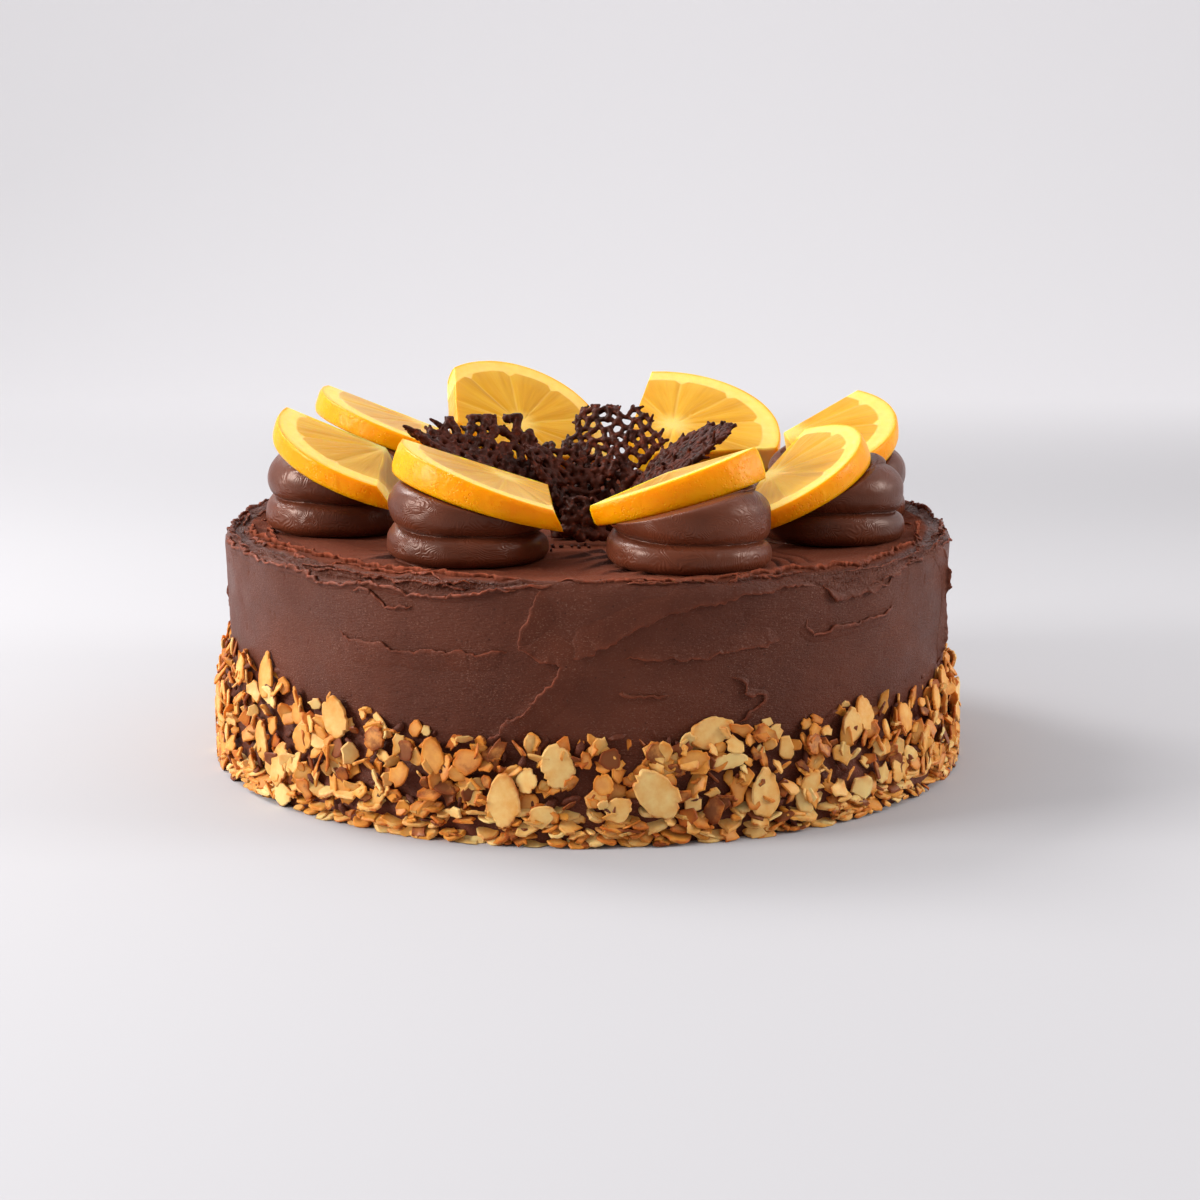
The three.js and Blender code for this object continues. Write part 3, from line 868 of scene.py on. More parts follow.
def rind_circle(rim):
    """Centre and radius of the arc that most corners of an outline lie on."""
    a, b, c = np.roll(rim, 1, axis=0), rim, np.roll(rim, -1, axis=0)
    lengths = [(corner**2).sum(1) for corner in (a, b, c)]
    sides = (b - c, c - a, a - b)
    double = 2 * (a[:, 0] * sides[0][:, 1] + b[:, 0] * sides[1][:, 1] + c[:, 0] * sides[2][:, 1])
    x = sum(size * side[:, 1] for size, side in zip(lengths, sides)) / double
    y = -sum(size * side[:, 0] for size, side in zip(lengths, sides)) / double
    guess = np.median(np.stack([x, y], 1), axis=0)
    away = np.linalg.norm(rim - guess, axis=1)
    return circle_through(rim[np.abs(away - np.median(away)) < 0.5])


class SliceForm:
    """A slice's own frame, outlines and thickness, read from its CAD node. Its origin is the
    orange's core on the upper face, X points to the middle of the rind and Z off the face."""

    def __init__(self, node):
        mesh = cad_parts[node].data
        points = cad_points(node)
        corners = np.array([tuple(t.vertices) for t in mesh.polygons])
        first, second, third = (points[corners[:, k]] for k in range(3))
        normal = np.cross(second - first, third - first)
        area = np.linalg.norm(normal, axis=1)
        normal = normal / area[:, None]
        self.up, top = self._plane(first, normal, area, 1)
        self.lower_normal, self.lower_offset = self._plane(first, normal, area, -1)
        x = np.cross(self.up, [0.3, 0.9, 0.1])
        x /= np.linalg.norm(x)
        y = np.cross(self.up, x)
        # The outlines of the cut faces lie a little below them, where the edges are rounded.
        rims = []
        for depth in (top - points @ self.up, self.lower_offset - points @ self.lower_normal):
            rim = points[np.abs(depth - EDGE_ROUNDING) < 0.5 * EDGE_ROUNDING]
            flat = np.unique(np.round(np.stack([rim @ x, rim @ y], 1), 3), axis=0)
            off = flat - flat.mean(0)
            rims.append(flat[np.argsort(np.arctan2(off[:, 1], off[:, 0]))])
        core, self.radius = rind_circle(rims[0])
        on_rind = self._on_rind(rims[0] - core)
        heading = (rims[0][on_rind] - core).mean(0)
        heading /= np.linalg.norm(heading)
        side = np.array([-heading[1], heading[0]])
        self.origin = top * self.up + core[0] * x + core[1] * y
        self.x = heading[0] * x + heading[1] * y
        self.y = np.cross(self.up, self.x)
        self.upper, self.lower = (
            self._rind_first(np.stack([(rim - core) @ heading, (rim - core) @ side], 1))
            for rim in rims
        )

    def _on_rind(self, rim):
        return np.hypot(rim[:, 0], rim[:, 1]) > ON_RIND * self.radius

    def _rind_first(self, rim):
        """The outline's corners with those on the rind first."""
        on_rind = self._on_rind(rim)
        start = np.flatnonzero(on_rind & ~np.roll(on_rind, 1))[0]
        return np.roll(rim, -start, axis=0)

    @staticmethod
    def _plane(first, normal, area, direction):
        """The largest flat face that looks up (1) or down (-1): its normal and its offset."""
        keys = np.round(normal, 3)
        best = None
        for key in np.unique(keys[normal[:, 2] * direction > 0.3], axis=0):
            same = np.all(keys == key, axis=1)
            if best is None or area[same].sum() > best[0]:
                best = (area[same].sum(), same)
        chosen = normal[best[1]].mean(0)
        chosen /= np.linalg.norm(chosen)
        return chosen, float((first[best[1]] @ chosen).mean())

    def outline(self, rim):
        """The outline with many points: the rind's arc, then the straight cuts."""
        on_rind = self._on_rind(rim)
        arc, corners = rim[on_rind], rim[~on_rind]
        turn = np.unwrap(np.arctan2(arc[:, 1], arc[:, 0]))
        angle = np.linspace(turn[0], turn[-1], RIND_STEPS)
        curve = self.radius * np.stack([np.cos(angle), np.sin(angle)], 1)
        path = [curve[-1], *corners, curve[0]]
        share = np.linspace(0, 1, CUT_STEPS // (len(path) - 1) + 1)[1:, None]
        cuts = [start + share * (end - start) for start, end in zip(path, path[1:])]
        return np.vstack([curve, *cuts])[:-1]

    def world(self, flat_x, flat_y, depth):
        """Points at places on the upper face, `depth` below it."""
        return (
            self.origin
            + np.multiply.outer(flat_x, self.x)
            + np.multiply.outer(flat_y, self.y)
            - np.multiply.outer(depth, self.up)
        )

    def thickness(self, flat_x, flat_y):
        """Depth of the lower face under places on the upper one."""
        start = self.world(flat_x, flat_y, 0 * flat_x)
        return (start @ self.lower_normal - self.lower_offset) / (self.up @ self.lower_normal)

    def underside_height(self, x, y):
        """World height of the lower face's plane over places on the ground."""
        n = self.lower_normal
        return (self.lower_offset - n[0] * x - n[1] * y) / n[2]

    def covers(self, x, y, margin):
        """True where the slice, grown by a margin, lies over places on the ground."""
        height = self.underside_height(x, y)
        spot = np.stack([x, y, height], -1) - self.origin
        flat_x, flat_y = spot @ self.x, spot @ self.y
        beyond = np.full(np.shape(x), -np.inf)
        for start, end in zip(self.lower, np.roll(self.lower, -1, axis=0)):
            step = (end - start) / np.linalg.norm(end - start)
            out = step[1] * (flat_x - start[0]) - step[0] * (flat_y - start[1])
            beyond = np.maximum(beyond, out)
        return beyond < margin


def slice_relief(form, flat_x, flat_y, seed):
    """How the cut flesh stands: plump segments between tight membranes, sunken pith."""
    radius = np.hypot(flat_x, flat_y) / form.radius
    angle = np.arctan2(flat_y, flat_x)
    spots = np.stack([flat_x, flat_y, np.full(len(flat_x), 5.0 * seed)], 1)
    flesh = ease((0.84 - radius) / 0.04) * ease((radius - 0.07) / 0.06)
    phase = angle * SEGMENTS / (2 * math.pi) + SEGMENT_TURN * seed
    phase = phase + 0.03 * smooth_noise(spots, 9, 51)
    from_membrane = np.abs((phase % 1) - 0.5) * 2
    width = np.clip(radius, 0.1, 1)
    membrane = np.exp(-(((1 - from_membrane) * width / 0.045) ** 2))
    plump = (1 - from_membrane**4) * 0.25
    sacs = np.stack([angle * 13, radius * 3, np.full(len(flat_x), float(seed))], 1)
    pulp = layered_noise(sacs, 1.0, 53, 2)
    pith = np.exp(-(((radius - 0.9) / 0.035) ** 2))
    return flesh * (plump - 0.25 + 0.1 * pulp - 0.08 * membrane) - 0.12 * pith


def orange_slice(node, name, seed):
    """One slice: cut faces with segments, a rounded rind, and straight cuts through the flesh."""
    form = SliceForm(node)
    rings, deep = 36, 12  # rings of points on a cut face, and steps down the rind
    inset = 0.35  # how far a face's rim is drawn in, in millimetres
    rims = []
    for rim in (form.outline(form.upper), form.outline(form.lower)):
        wander = np.column_stack([rim, np.full(len(rim), 7.0 * seed)])
        rims.append(rim * (1 + 0.004 * layered_noise(wander, 11, 57)[:, None]))
    hub = 0.25 * (rims[0].max(0) + rims[0].min(0) + rims[1].max(0) + rims[1].min(0))
    across = len(rims[0])
    share = np.linspace(0.08, 1, rings)[:, None, None]
    layers, flats = [], []
    # The two cut faces, from the middle to the rim.
    for rim, upper in zip(rims, (True, False)):
        flat = np.vstack([hub[None], (hub + share * (rim - hub)).reshape(-1, 2)])
        relief = slice_relief(form, flat[:, 0], flat[:, 1], seed)
        from_rim = form.radius - np.hypot(flat[:, 0], flat[:, 1])
        relief -= 0.5 * np.exp(-from_rim / 0.5)
        relief[-across:] = 0
        drawn = flat.copy()
        drawn[-across:] -= inset * (rim - hub) / np.linalg.norm(rim - hub, axis=1)[:, None]
        if upper:
            depth = 0.05 - relief
        else:
            depth = form.thickness(drawn[:, 0], drawn[:, 1]) + 0.6 * relief - 0.1
        layers.append(form.world(drawn[:, 0], drawn[:, 1], depth))
        flats.append(flat)
    total = len(flats[0])
    quads = grid_faces(rings, across, start=1)
    fan = fan_faces(1 + np.arange(across), 0)
    faces = [quads[:, ::-1], fan, quads + total, fan[:, ::-1] + total]
    on_rind = np.arange(across) < RIND_STEPS
    # The rind, which bellies out between the faces, and the straight cuts.
    for level in range(1, deep):
        part = level / deep
        flat = rims[0] + part * (rims[1] - rims[0])
        spots = np.column_stack([flat, np.full(across, part * 9 + seed)])
        bulge = 0.35 * math.sin(math.pi * part) - 0.3 * (level in (1, deep - 1))
        belly = np.where(on_rind, bulge, 0)
        belly += np.where(on_rind, 0.10, 0.22) * layered_noise(spots, 2.2, 59, 2)
        grown = hub + (flat - hub) * (1 + belly / form.radius)[:, None]
        depth = form.thickness(grown[:, 0], grown[:, 1]) * part
        layers.append(form.world(grown[:, 0], grown[:, 1], depth))
        flats.append(flat)
    last = total - across + np.arange(across)
    walls = [2 * total + level * across + np.arange(across) for level in range(deep - 1)]
    loops = [last, *walls, last + total]
    faces += [band_faces(low, high) for high, low in zip(loops, loops[1:])]
    chart = np.vstack(flats) / form.radius
    phase = np.full(len(chart), SEGMENT_TURN * seed)
    points = np.vstack(layers)
    points[:, 2] = np.minimum(points[:, 2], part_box(node)[1].z / MM - 0.02)
    return make_mesh(name, points, faces, {"phase": phase}, chart)


def orange_material(settings):
    look = Shading("orange_rind_pith_and_flesh")
    chart = look.place(source="UV")
    where = look.place()
    x, y, _ = look.axes(chart)
    squared = look.math("MULTIPLY_ADD", y, y, look.times(x, x))
    wobble = look.spread(look.noise(where, 120, 3), 0, 1, -0.012, 0.012, smooth=False)
    radius = look.math("ADD", look.math("SQRT", squared), wobble)
    angle = look.math("ARCTAN2", y, x)
    bend = look.spread(look.noise(where, 60, 2), 0, 1, -0.04, 0.04, smooth=False)
    phase = look.math("MULTIPLY_ADD", angle, SEGMENTS / (2 * math.pi), look.mark("phase"))
    phase = look.math("ADD", look.math("ADD", phase, bend), 8.0)
    segment = look.math("FLOOR", phase)
    from_middle = look.math("ABSOLUTE", look.math("SUBTRACT", look.math("FRACT", phase), 0.5))
    to_membrane = look.math("SUBTRACT", 1.0, look.times(from_middle, 2))
    thin = look.times(to_membrane, radius)
    membrane = look.spread(thin, 0.0, 0.06, 0.32, 0)
    fibre_place = look.add("ShaderNodeCombineXYZ")
    for socket, value, scale in zip(fibre_place.inputs, (angle, radius, segment), (9, 1.6, 3.7)):
        look.join(look.times(value, scale), socket)
    fibres = look.noise(fibre_place.outputs[0], 2.2, 4, 0.55)
    depth = look.noise(fibre_place.outputs[0], 0.35, 2, 0.5)
    pulp = look.ramp(
        look.math("MULTIPLY_ADD", look.math("SUBTRACT", fibres, 0.5), 0.34, depth),
        (0.25, settings.flesh_deep),
        (0.5, settings.flesh),
        (0.8, settings.flesh_pale),
    )
    pale_end = look.spread(radius, 0.62, 0.86, 0, 0.15)
    core = look.spread(radius, 0.03, 0.26, 0.95, 0)
    tissue = look.math("MAXIMUM", look.math("MAXIMUM", membrane, pale_end), core)
    flesh = look.mix(tissue, pulp, settings.membrane)
    corner = look.spread(to_membrane, 0.0, 0.3, 0.05, 0)
    rim = look.math("ADD", radius, corner)
    pith = look.spread(rim, 0.815, 0.84)
    zest = look.spread(radius, 0.962, 0.995)
    zest_tone = look.noise(where, 90, 3, 0.6)
    rind = look.mix(zest_tone, settings.rind_deep, settings.rind)
    pale = look.mix(look.noise(where, 300, 3), settings.pith, settings.pith_warm)
    pale = look.mix(look.spread(radius, 0.93, 0.97, 0, 0.25), pale, settings.rind)
    colour = look.mix(zest, look.mix(pith, flesh, pale), rind)
    pores = look.spread(look.cells(where, 1000), 0.05, 0.4)
    sparse = look.spread(look.noise(where, 150, 2), 0.35, 0.65)
    pore_relief = look.times(look.times(pores, sparse), zest)
    fibre_relief = look.times(fibres, look.math("SUBTRACT", 1.0, pith))
    relief = look.bump(pore_relief, 0.5, 0.0004)
    relief = look.bump(fibre_relief, 0.22, 0.0008, relief)
    relief = look.bump(look.noise(where, 500, 2), 0.08, 0.0004, relief)
    gloss = look.spread(radius, 0.82, 0.86, 0.28, 0.5)
    gloss = look.math("MINIMUM", gloss, look.spread(radius, 0.95, 0.98, 0.6, 0.34))
    return look.finish(
        Base_Color=colour,
        Roughness=gloss,
        Normal=relief,
        Subsurface_Weight=0.7,
        Subsurface_Scale=0.005,
        Subsurface_Radius=(1.0, 0.5, 0.08),
        Specular_IOR_Level=0.3,
        Specular_Tint=(1.0, 0.86, 0.55, 1.0),
        IOR=1.4,
    )


# ---- the piped swirls -----------------------------------------------------------------------

# Height of the groove over the lowest turn at each swirl's front, and each swirl's height before
# a slice pressed on it, in millimetres.
GROOVES = (9.6, 9.2, 10.6, 11, 10, 10.5, 10.5, 11.2)
NATURAL_HEIGHTS = (31, 31, 31, 32, 33, 36, 32, 33)
SUNK = 0.5  # how deep a swirl's foot stands in the frosting
SWIRL_ROUND = 24  # radius at which a swirl's noise and chart are unrolled


def coil_phase(height, angle, groove, pitch):
    """Turns of the rope below a place: a low first turn, then much higher ones."""
    front = angle + math.pi / 2
    wound = (front - 0.8 * np.sin(front)) / (2 * math.pi)
    above = height - groove
    return np.where(above < 0, above / groove, above / pitch) + wound


def piped_swirl(number, settings, slices, base):
    """A rope of buttercream wound upwards, pressed from above by the slice that leans on it."""
    low, high = (np.array(corner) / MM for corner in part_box(f"swirl_{number}"))
    centre = 0.5 * (low + high)[:2]
    outer = 0.25 * (high - low)[:2].sum() + 0.45
    tall = NATURAL_HEIGHTS[number - 1]
    rows, columns = 130, 150
    up = tall * np.linspace(0, 1, rows) ** 0.93
    around = np.linspace(0, 2 * math.pi, columns, endpoint=False)
    height, angle = pairs(up, around)
    spots = turned(SWIRL_ROUND, angle, height + 70.0 * number)
    uneven = 0.04 * layered_noise(spots, 15, 61, 2)
    # The rope's rounded turns, with a groove where one ends and the next begins.
    phase = coil_phase(height, angle, GROOVES[number - 1], settings.pitch / MM) + uneven
    from_middle = np.abs(2 * (phase - np.floor(phase)) - 1)
    closing = np.clip((height - 17) / (tall - 17), 0, 1)
    envelope = outer * np.sqrt(1 - 0.97 * closing**2) - 0.04 * height
    round_off = 1 - np.sqrt(1 - 0.99 * from_middle**3.0)
    foot = 1.6 * np.clip(1 - height / 4, 0, 1) ** 2
    radius = envelope - settings.groove / MM * round_off * (1 - 0.6 * closing) - foot
    radius += 0.35 * layered_noise(spots, 12, 63, 2) + 0.07 * layered_noise(spots, 2.6, 65, 2)
    radius = np.maximum(radius, 0.3)
    x = centre[0] + radius * np.cos(angle)
    y = centre[1] + radius * np.sin(angle)
    z = base - SUNK + height
    # The slices press the top down: the swirl's own one, and any other that reaches over it.
    own = slices[number - 1]
    limit = own.underside_height(x, y) - 0.25
    limit = limit + np.where(own.covers(x, y, 2), 0.0, 0.8)
    for other in slices:
        if other is not own:
            pressed = other.covers(x, y, 1.5)
            limit = np.where(pressed, np.minimum(limit, other.underside_height(x, y) - 0.3), limit)
    soft = 0.9
    z = limit - soft * np.logaddexp(0, (limit - z) / soft)
    z = np.maximum(z, base - SUNK)
    tip = [x[-columns:].mean(), y[-columns:].mean(), z[-columns:].mean()]
    points = np.vstack([np.stack([x, y, z], 1), [[*centre, base - SUNK], tip]])
    chart = chart_places(np.column_stack([angle * SWIRL_ROUND, height]), 2)
    name = f"piped_swirl_{number}"
    return make_mesh(name, points, capped_faces(rows, columns), chart=chart)


def buttercream_material(settings):
    look = Shading("piped_buttercream")
    where = look.place()
    tone = look.noise(where, 45, 3, 0.55)
    colour = look.mix(look.spread(tone, 0.3, 0.7), settings.shade, settings.colour)
    field = look.noise(where, 75, 2, 0.5, 0.6)
    creases = look.math("SINE", look.times(field, 2 * math.pi * 34))
    here = look.spread(look.noise(where, 90, 2), 0.4, 0.58, 0.15, 1)
    ripple = look.times(creases, here)
    fine = look.noise(where, 1500, 3, 0.6)
    relief = look.bump(ripple, 0.3, 0.00015)
    relief = look.bump(fine, 0.2, 0.0002, relief)
    gloss = look.spread(look.noise(where, 160, 4), 0.3, 0.7, 0.29, 0.4)
    return look.finish(
        Base_Color=colour,
        Roughness=gloss,
        Normal=relief,
        Subsurface_Weight=0.1,
        Subsurface_Scale=0.002,
        Subsurface_Radius=(1.0, 0.4, 0.25),
        Specular_IOR_Level=0.42,
        Specular_Tint=(1.0, 0.74, 0.62, 1.0),
        IOR=1.48,
    )


# ---- what is scattered: almonds and crumbs --------------------------------------------------


class PieceTree(NodeTree):
    """A new tree of geometry nodes, with its named inputs."""

    def __init__(self, name, **inputs):
        super().__init__(bpy.data.node_groups.new(name, "GeometryNodeTree"))
        ask = self.tree.interface.new_socket
        for label, kind in inputs.items():
            ask(label, in_out="INPUT", socket_type="NodeSocket" + kind)
        ask("Pieces", in_out="OUTPUT", socket_type="NodeSocketGeometry")
        self.given = self.add("NodeGroupInput").outputs

    def named(self, kind, label):
        """What each point carries under a name."""
        node = self.add("GeometryNodeInputNamedAttribute", {"Name": label}, data_type=kind)
        return node.outputs["Attribute"]

    def finish(self, source):
        """Dresses what a node makes in the given material, as the tree's result."""
        inputs = {0: source.outputs[0], "Material": self.given["Material"]}
        dressed = self.add("GeometryNodeSetMaterial", inputs)
        self.add("NodeGroupOutput", {0: dressed.outputs[0]})
        return self.tree


def scatter_tree():
    """Sets shapes of a collection on points that carry each one's turn, size, kind and tone."""
    tree = PieceTree("scatter", Points="Geometry", Shapes="Collection", Material="Material")
    shapes = tree.add("GeometryNodeCollectionInfo", {
        "Collection": tree.given["Shapes"], "Separate Children": True, "Reset Children": True})
    turn = tree.add("FunctionNodeEulerToRotation", {0: tree.named("FLOAT_VECTOR", "turn")})
    spread = tree.add("GeometryNodeInstanceOnPoints", {
        "Points": tree.given["Points"],
        "Instance": shapes.outputs[0],
        "Pick Instance": True,
        "Instance Index": tree.named("INT", "kind"),
        "Rotation": turn.outputs[0],
        "Scale": tree.named("FLOAT_VECTOR", "size"),
    })
    return tree.finish(tree.add("GeometryNodeRealizeInstances", {0: spread.outputs[0]}))


def add_nodes_modifier(piece, tree, **values):
    """Adds a node tree to a piece and sets its named inputs."""
    modifier = piece.modifiers.new(tree.name, "NODES")
    modifier.node_group = tree
    for item in tree.interface.items_tree:
        if item.name in values:
            modifier[item.identifier] = values[item.name]


def scattered(name, places, turns, sizes, tones, kinds, shapes, material):
    """One mesh of many copies of a few shapes of unit size. Places and sizes are in
    millimetres, and turns are Euler angles."""
    mesh = bpy.data.meshes.new(name)
    mesh.from_pydata((places * MM).tolist(), [], [])
    for label, values in (("turn", turns), ("size", sizes)):
        layer = mesh.attributes.new(label, "FLOAT_VECTOR", "POINT")
        layer.data.foreach_set("vector", values.ravel())
    mark_points(mesh, "tone", tones)
    mesh.attributes.new("kind", "INT", "POINT").data.foreach_set("value", kinds)
    points = placed(name + "_points", mesh)
    shelf = bpy.data.collections.new(name + "_shapes")
    bpy.context.scene.collection.children.link(shelf)
    for shape in shapes:
        bpy.context.scene.collection.objects.unlink(shape)
        shelf.objects.link(shape)
    tree = bpy.data.node_groups.get("scatter") or scatter_tree()
    add_nodes_modifier(points, tree, Shapes=shelf, Material=material)
    piece = baked(points, name)
    for shape in shapes:
        bpy.data.objects.remove(shape)
    bpy.data.collections.remove(shelf)
    return piece


def almond_slab(name, rim, bow, twist, section):
    """A thin slab of unit thickness with a flat face and crisp edges, from its outline.
    `section` lists how wide the slab is at each height, and how near its rim that is."""
    steps = len(rim)
    middle = rim.mean(0)
    layers = []
    for scale, lift, _ in section:
        flat = middle + (rim - middle) * scale
        bent = bow * flat[:, 0] ** 2 + twist * flat[:, 0] * flat[:, 1]
        layers.append(np.column_stack([flat, bent + lift]))
    bent = bow * middle[0] ** 2 + twist * middle[0] * middle[1]
    ends = [[*middle, bent - 0.5], [*middle, bent + 0.5]]
    faces = capped_faces(len(layers), steps)
    rim_mark = np.append(np.repeat([part[2] for part in section], steps), [0, 0])
    slab = make_mesh(name, np.vstack([*layers, ends]), faces, {"rim": rim_mark})
    slab.data.set_sharp_from_angle(angle=math.radians(38))
    return slab


FLAKE_SECTION = [
    (0.6, -0.5, 0.3), (0.94, -0.44, 0.8), (1.0, -0.15, 1), (0.99, 0.2, 1), (0.92, 0.46, 0.8),
    (0.6, 0.5, 0.3),
]
CHIP_SECTION = [(0.92, -0.5, 0.8), (1.0, -0.15, 1), (0.98, 0.25, 1), (0.86, 0.5, 0.7)]


def almond_flake(name, seed, steps, section):
    """A whole thin slice of almond of unit size, round at one end and pointed at the other."""
    rng = np.random.default_rng(seed)
    turn = np.linspace(0, 2 * math.pi, steps, endpoint=False)
    tip = np.exp(-(((turn + math.pi) % (2 * math.pi) - math.pi) / 0.3) ** 2)
    x = 0.47 * np.cos(turn) + rng.uniform(0.01, 0.07) * tip
    y = 0.5 * np.sin(turn) * (1 - rng.uniform(0.05, 0.2) * np.cos(turn))
    wavy = 0.03 * np.sin(turn * rng.integers(4, 8) + rng.uniform(0, 6))
    nicks = 0.98 + wavy + rng.uniform(-0.045, 0.03, steps) - 0.13 * (rng.random(steps) < 0.1)
    rim = np.stack([x, y], 1) * nicks[:, None]
    return almond_slab(name, rim, rng.uniform(-1.2, 1.2), rng.uniform(-1, 1), section)


def almond_chip(name, seed):
    """A broken piece of an almond flake, of unit size, with a jagged outline."""
    rng = np.random.default_rng(seed)
    steps = 11
    turn = (np.arange(steps) + rng.uniform(-0.4, 0.4, steps)) / steps * 2 * math.pi
    reach = 0.5 * rng.uniform(0.55, 1.0, steps)
    squash = rng.uniform(0.7, 1.0)
    rim = np.stack([reach * np.cos(turn), squash * reach * np.sin(turn)], 1)
    return almond_slab(name, rim, rng.uniform(-1.5, 1.5), rng.uniform(-1.5, 1.5), CHIP_SECTION)


def crumb(name, seed):
    """A rough lump of unit size."""
    rng = np.random.default_rng(seed)
    steps = 7
    turn = np.linspace(0, 2 * math.pi, steps, endpoint=False)
    rings = []
    for lift, scale in ((-0.38, 0.3), (-0.15, 0.5), (0.15, 0.45), (0.36, 0.22)):
        ring = scale * (1 + rng.uniform(-0.25, 0.25, steps))
        rings.append(turned(ring, turn, lift + rng.uniform(-0.07, 0.07, steps)))
    points = np.vstack([*rings, [[0, 0, -0.45], [0, 0, 0.45]]])
    faces = capped_faces(len(rings), steps)
    return make_mesh(name, points, faces, {"rim": np.full(len(points), 0.5)})


# Whole flakes that stand out at the front: degrees from the front, height, length, width over
# length, lean of the long side to the right in degrees, and toast from 0 to 1. In millimetres.
SHOWN_FLAKES = [
    (-63, 36, 11, 0.75, 0, 0.4), (-54, 37.5, 15, 0.52, -5, 0.42), (-53, 18, 14, 0.5, 2, 0.35),
    (-48, 13, 15, 0.55, 8, 0.28), (-43, 23, 10, 0.8, 15, 0.45), (-37, 31, 14, 0.66, -25, 0.3),
    (-47, 4, 10, 0.7, 78, 0.1), (-30, 27, 8, 0.9, 10, 0.8), (-25, 25, 7, 0.9, 40, 0.9),
    (-21, 24, 12, 0.6, -10, 0.6), (-16, 23.5, 9.5, 0.8, 70, 0.7), (-11, 13, 17, 0.6, 0, 0.22),
    (-8, 19, 8, 0.8, 10, 0.15), (-4, 23, 14, 0.7, -15, 0.12), (-6, 9, 9, 0.72, 62, 0.2),
    (4, 11, 9, 0.78, 55, 0.2), (2, 18, 7, 0.9, 0, 0.65), (3, 25, 7, 0.9, 30, 0.95),
    (9, 15, 18, 0.64, -42, 0.15), (9, 26.5, 7, 0.85, 0, 0.85), (14, 24, 10, 0.6, 80, 0.6),
    (17, 31, 15, 0.6, 74, 0.2), (19, 23, 12, 0.4, 84, 0.08), (24, 13, 16, 0.6, 4, 0.25),
    (31, 14, 9, 0.75, 20, 0.3), (32, 25, 7, 0.9, 0, 0.75), (39, 28, 11, 0.72, 5, 0.2),
    (42, 30.5, 12, 0.62, -15, 0.3), (51, 26, 11, 0.72, -30, 0.5), (48, 12, 10, 0.7, 10, 0.3),
    (62, 27, 10, 0.7, 5, 0.4), (56, 17, 10, 0.7, 20, 0.35), (67, 31, 10, 0.6, -8, 0.4),
]


# The almond heap, in millimetres.
HEAP_TOP_DEPTH = 0.8  # how far it stands off the cake's side at its upper end
HEAP_SPREAD = 6.4  # how much further it stands out towards its foot
HEAP_INSIDE = 116  # radius of its core's wall inside the frosting
HEAP_ROUND = 123  # radius of the circle on which its roughness is drawn
GROUND_GAP = 0.12  # height of the lowest flakes above the ground


class BorderForm:
    """The almond heap's height and depth, read from its CAD node."""

    def __init__(self, form):
        points = cad_points("almond_border")
        angle = np.arctan2(points[:, 1], points[:, 0])
        heading = np.round(angle, 2)
        values = np.unique(heading)
        tops = [points[heading == value, 2].max() for value in values]
        self.heading, self.tops = values, np.array(tops)
        self.cake = form
        corners = np.array([tuple(corner) for corner in CAD_BOX]) / MM
        self.outermost = float(np.abs(corners[:, :2]).min())

    def top(self, angle):
        return np.interp(angle, self.heading, self.tops, period=2 * math.pi)

    def depth(self, angle, height):
        """How far the heap stands off the cake's side."""
        share = np.clip(height / self.top(angle), 0, 1)
        swell = HEAP_SPREAD * np.sqrt(np.clip(1 - share, 0, 1))
        return HEAP_TOP_DEPTH + swell * (1 - 0.12 * (1 - share) ** 4)

    def place(self, angle, height, off):
        return turned(self.cake.side_radius(angle, height) + off, angle, height)


def heap_core(border):
    """The frosting that holds the almonds, smeared up between them."""
    columns, rows = 720, 22
    around = np.linspace(-math.pi, math.pi, columns, endpoint=False)
    part, angle = pairs(np.linspace(0, 1, rows), around)
    height = part * (border.top(angle) + 1)
    rough = layered_noise(turned(HEAP_ROUND, angle, height), 5, 71, 3)
    # The core lies behind the almonds' faces, and runs out into the frosting above them.
    depth = border.depth(angle, height) - 2.6 + rough
    fade = ease((part - 0.55) / 0.45)
    depth = depth * (1 - fade) + fade * (-0.9 + 0.9 * rough)
    radius = border.cake.side_radius(angle, height) + depth
    radius = np.minimum(radius, border.outermost - 0.6)
    inner = [turned(HEAP_INSIDE, around, level) for level in (border.top(around) - 1, 0)]
    points = np.vstack([turned(radius, angle, height), *inner])
    first = np.arange(columns)
    faces = [grid_faces(rows + 2, columns), band_faces((rows + 1) * columns + first, first)]
    # Painted glow and highlight: where the core stands out most it takes the lighter, redder edge
    # colour.
    marks = {"edge": np.append(ease((rough - 0.3) / 0.8) * 0.6, np.zeros(2 * columns))}
    return make_mesh("border_core", points, faces, marks)


def euler_rows(forward, normal):
    """Euler angles of things whose X points near `forward` and whose Z is `normal`."""
    turns = np.empty((len(normal), 3))
    for k, (ahead, up) in enumerate(zip(forward, normal)):
        up = Vector(up).normalized()
        side = up.cross(Vector(ahead)).normalized()
        ahead = side.cross(up)
        turns[k] = Matrix((ahead, side, up)).transposed().to_euler()
    return turns


def standing_turns(angle, lean, tilt, rng):
    """Flakes that face outwards, with their long side leaning from the upright, in radians."""
    normal = turned(1, angle, 0.12)
    normal += rng.normal(0, tilt, (len(angle), 3))
    right = np.stack([-np.sin(angle), np.cos(angle), 0 * angle], 1)
    up = np.array([0, 0, 1.0])
    forward = np.sin(lean)[:, None] * right + np.cos(lean)[:, None] * up
    return euler_rows(forward, normal)


def lying_turns(angle, tilt, rng):
    """Flakes that lie nearly flat, tipped a little outwards."""
    count = len(angle)
    normal = turned(rng.uniform(0.15, 0.75, count), angle, 1.0)
    normal += rng.normal(0, tilt, (count, 3))
    return euler_rows(turned(1, rng.uniform(0, 2 * math.pi, count), 0), normal)


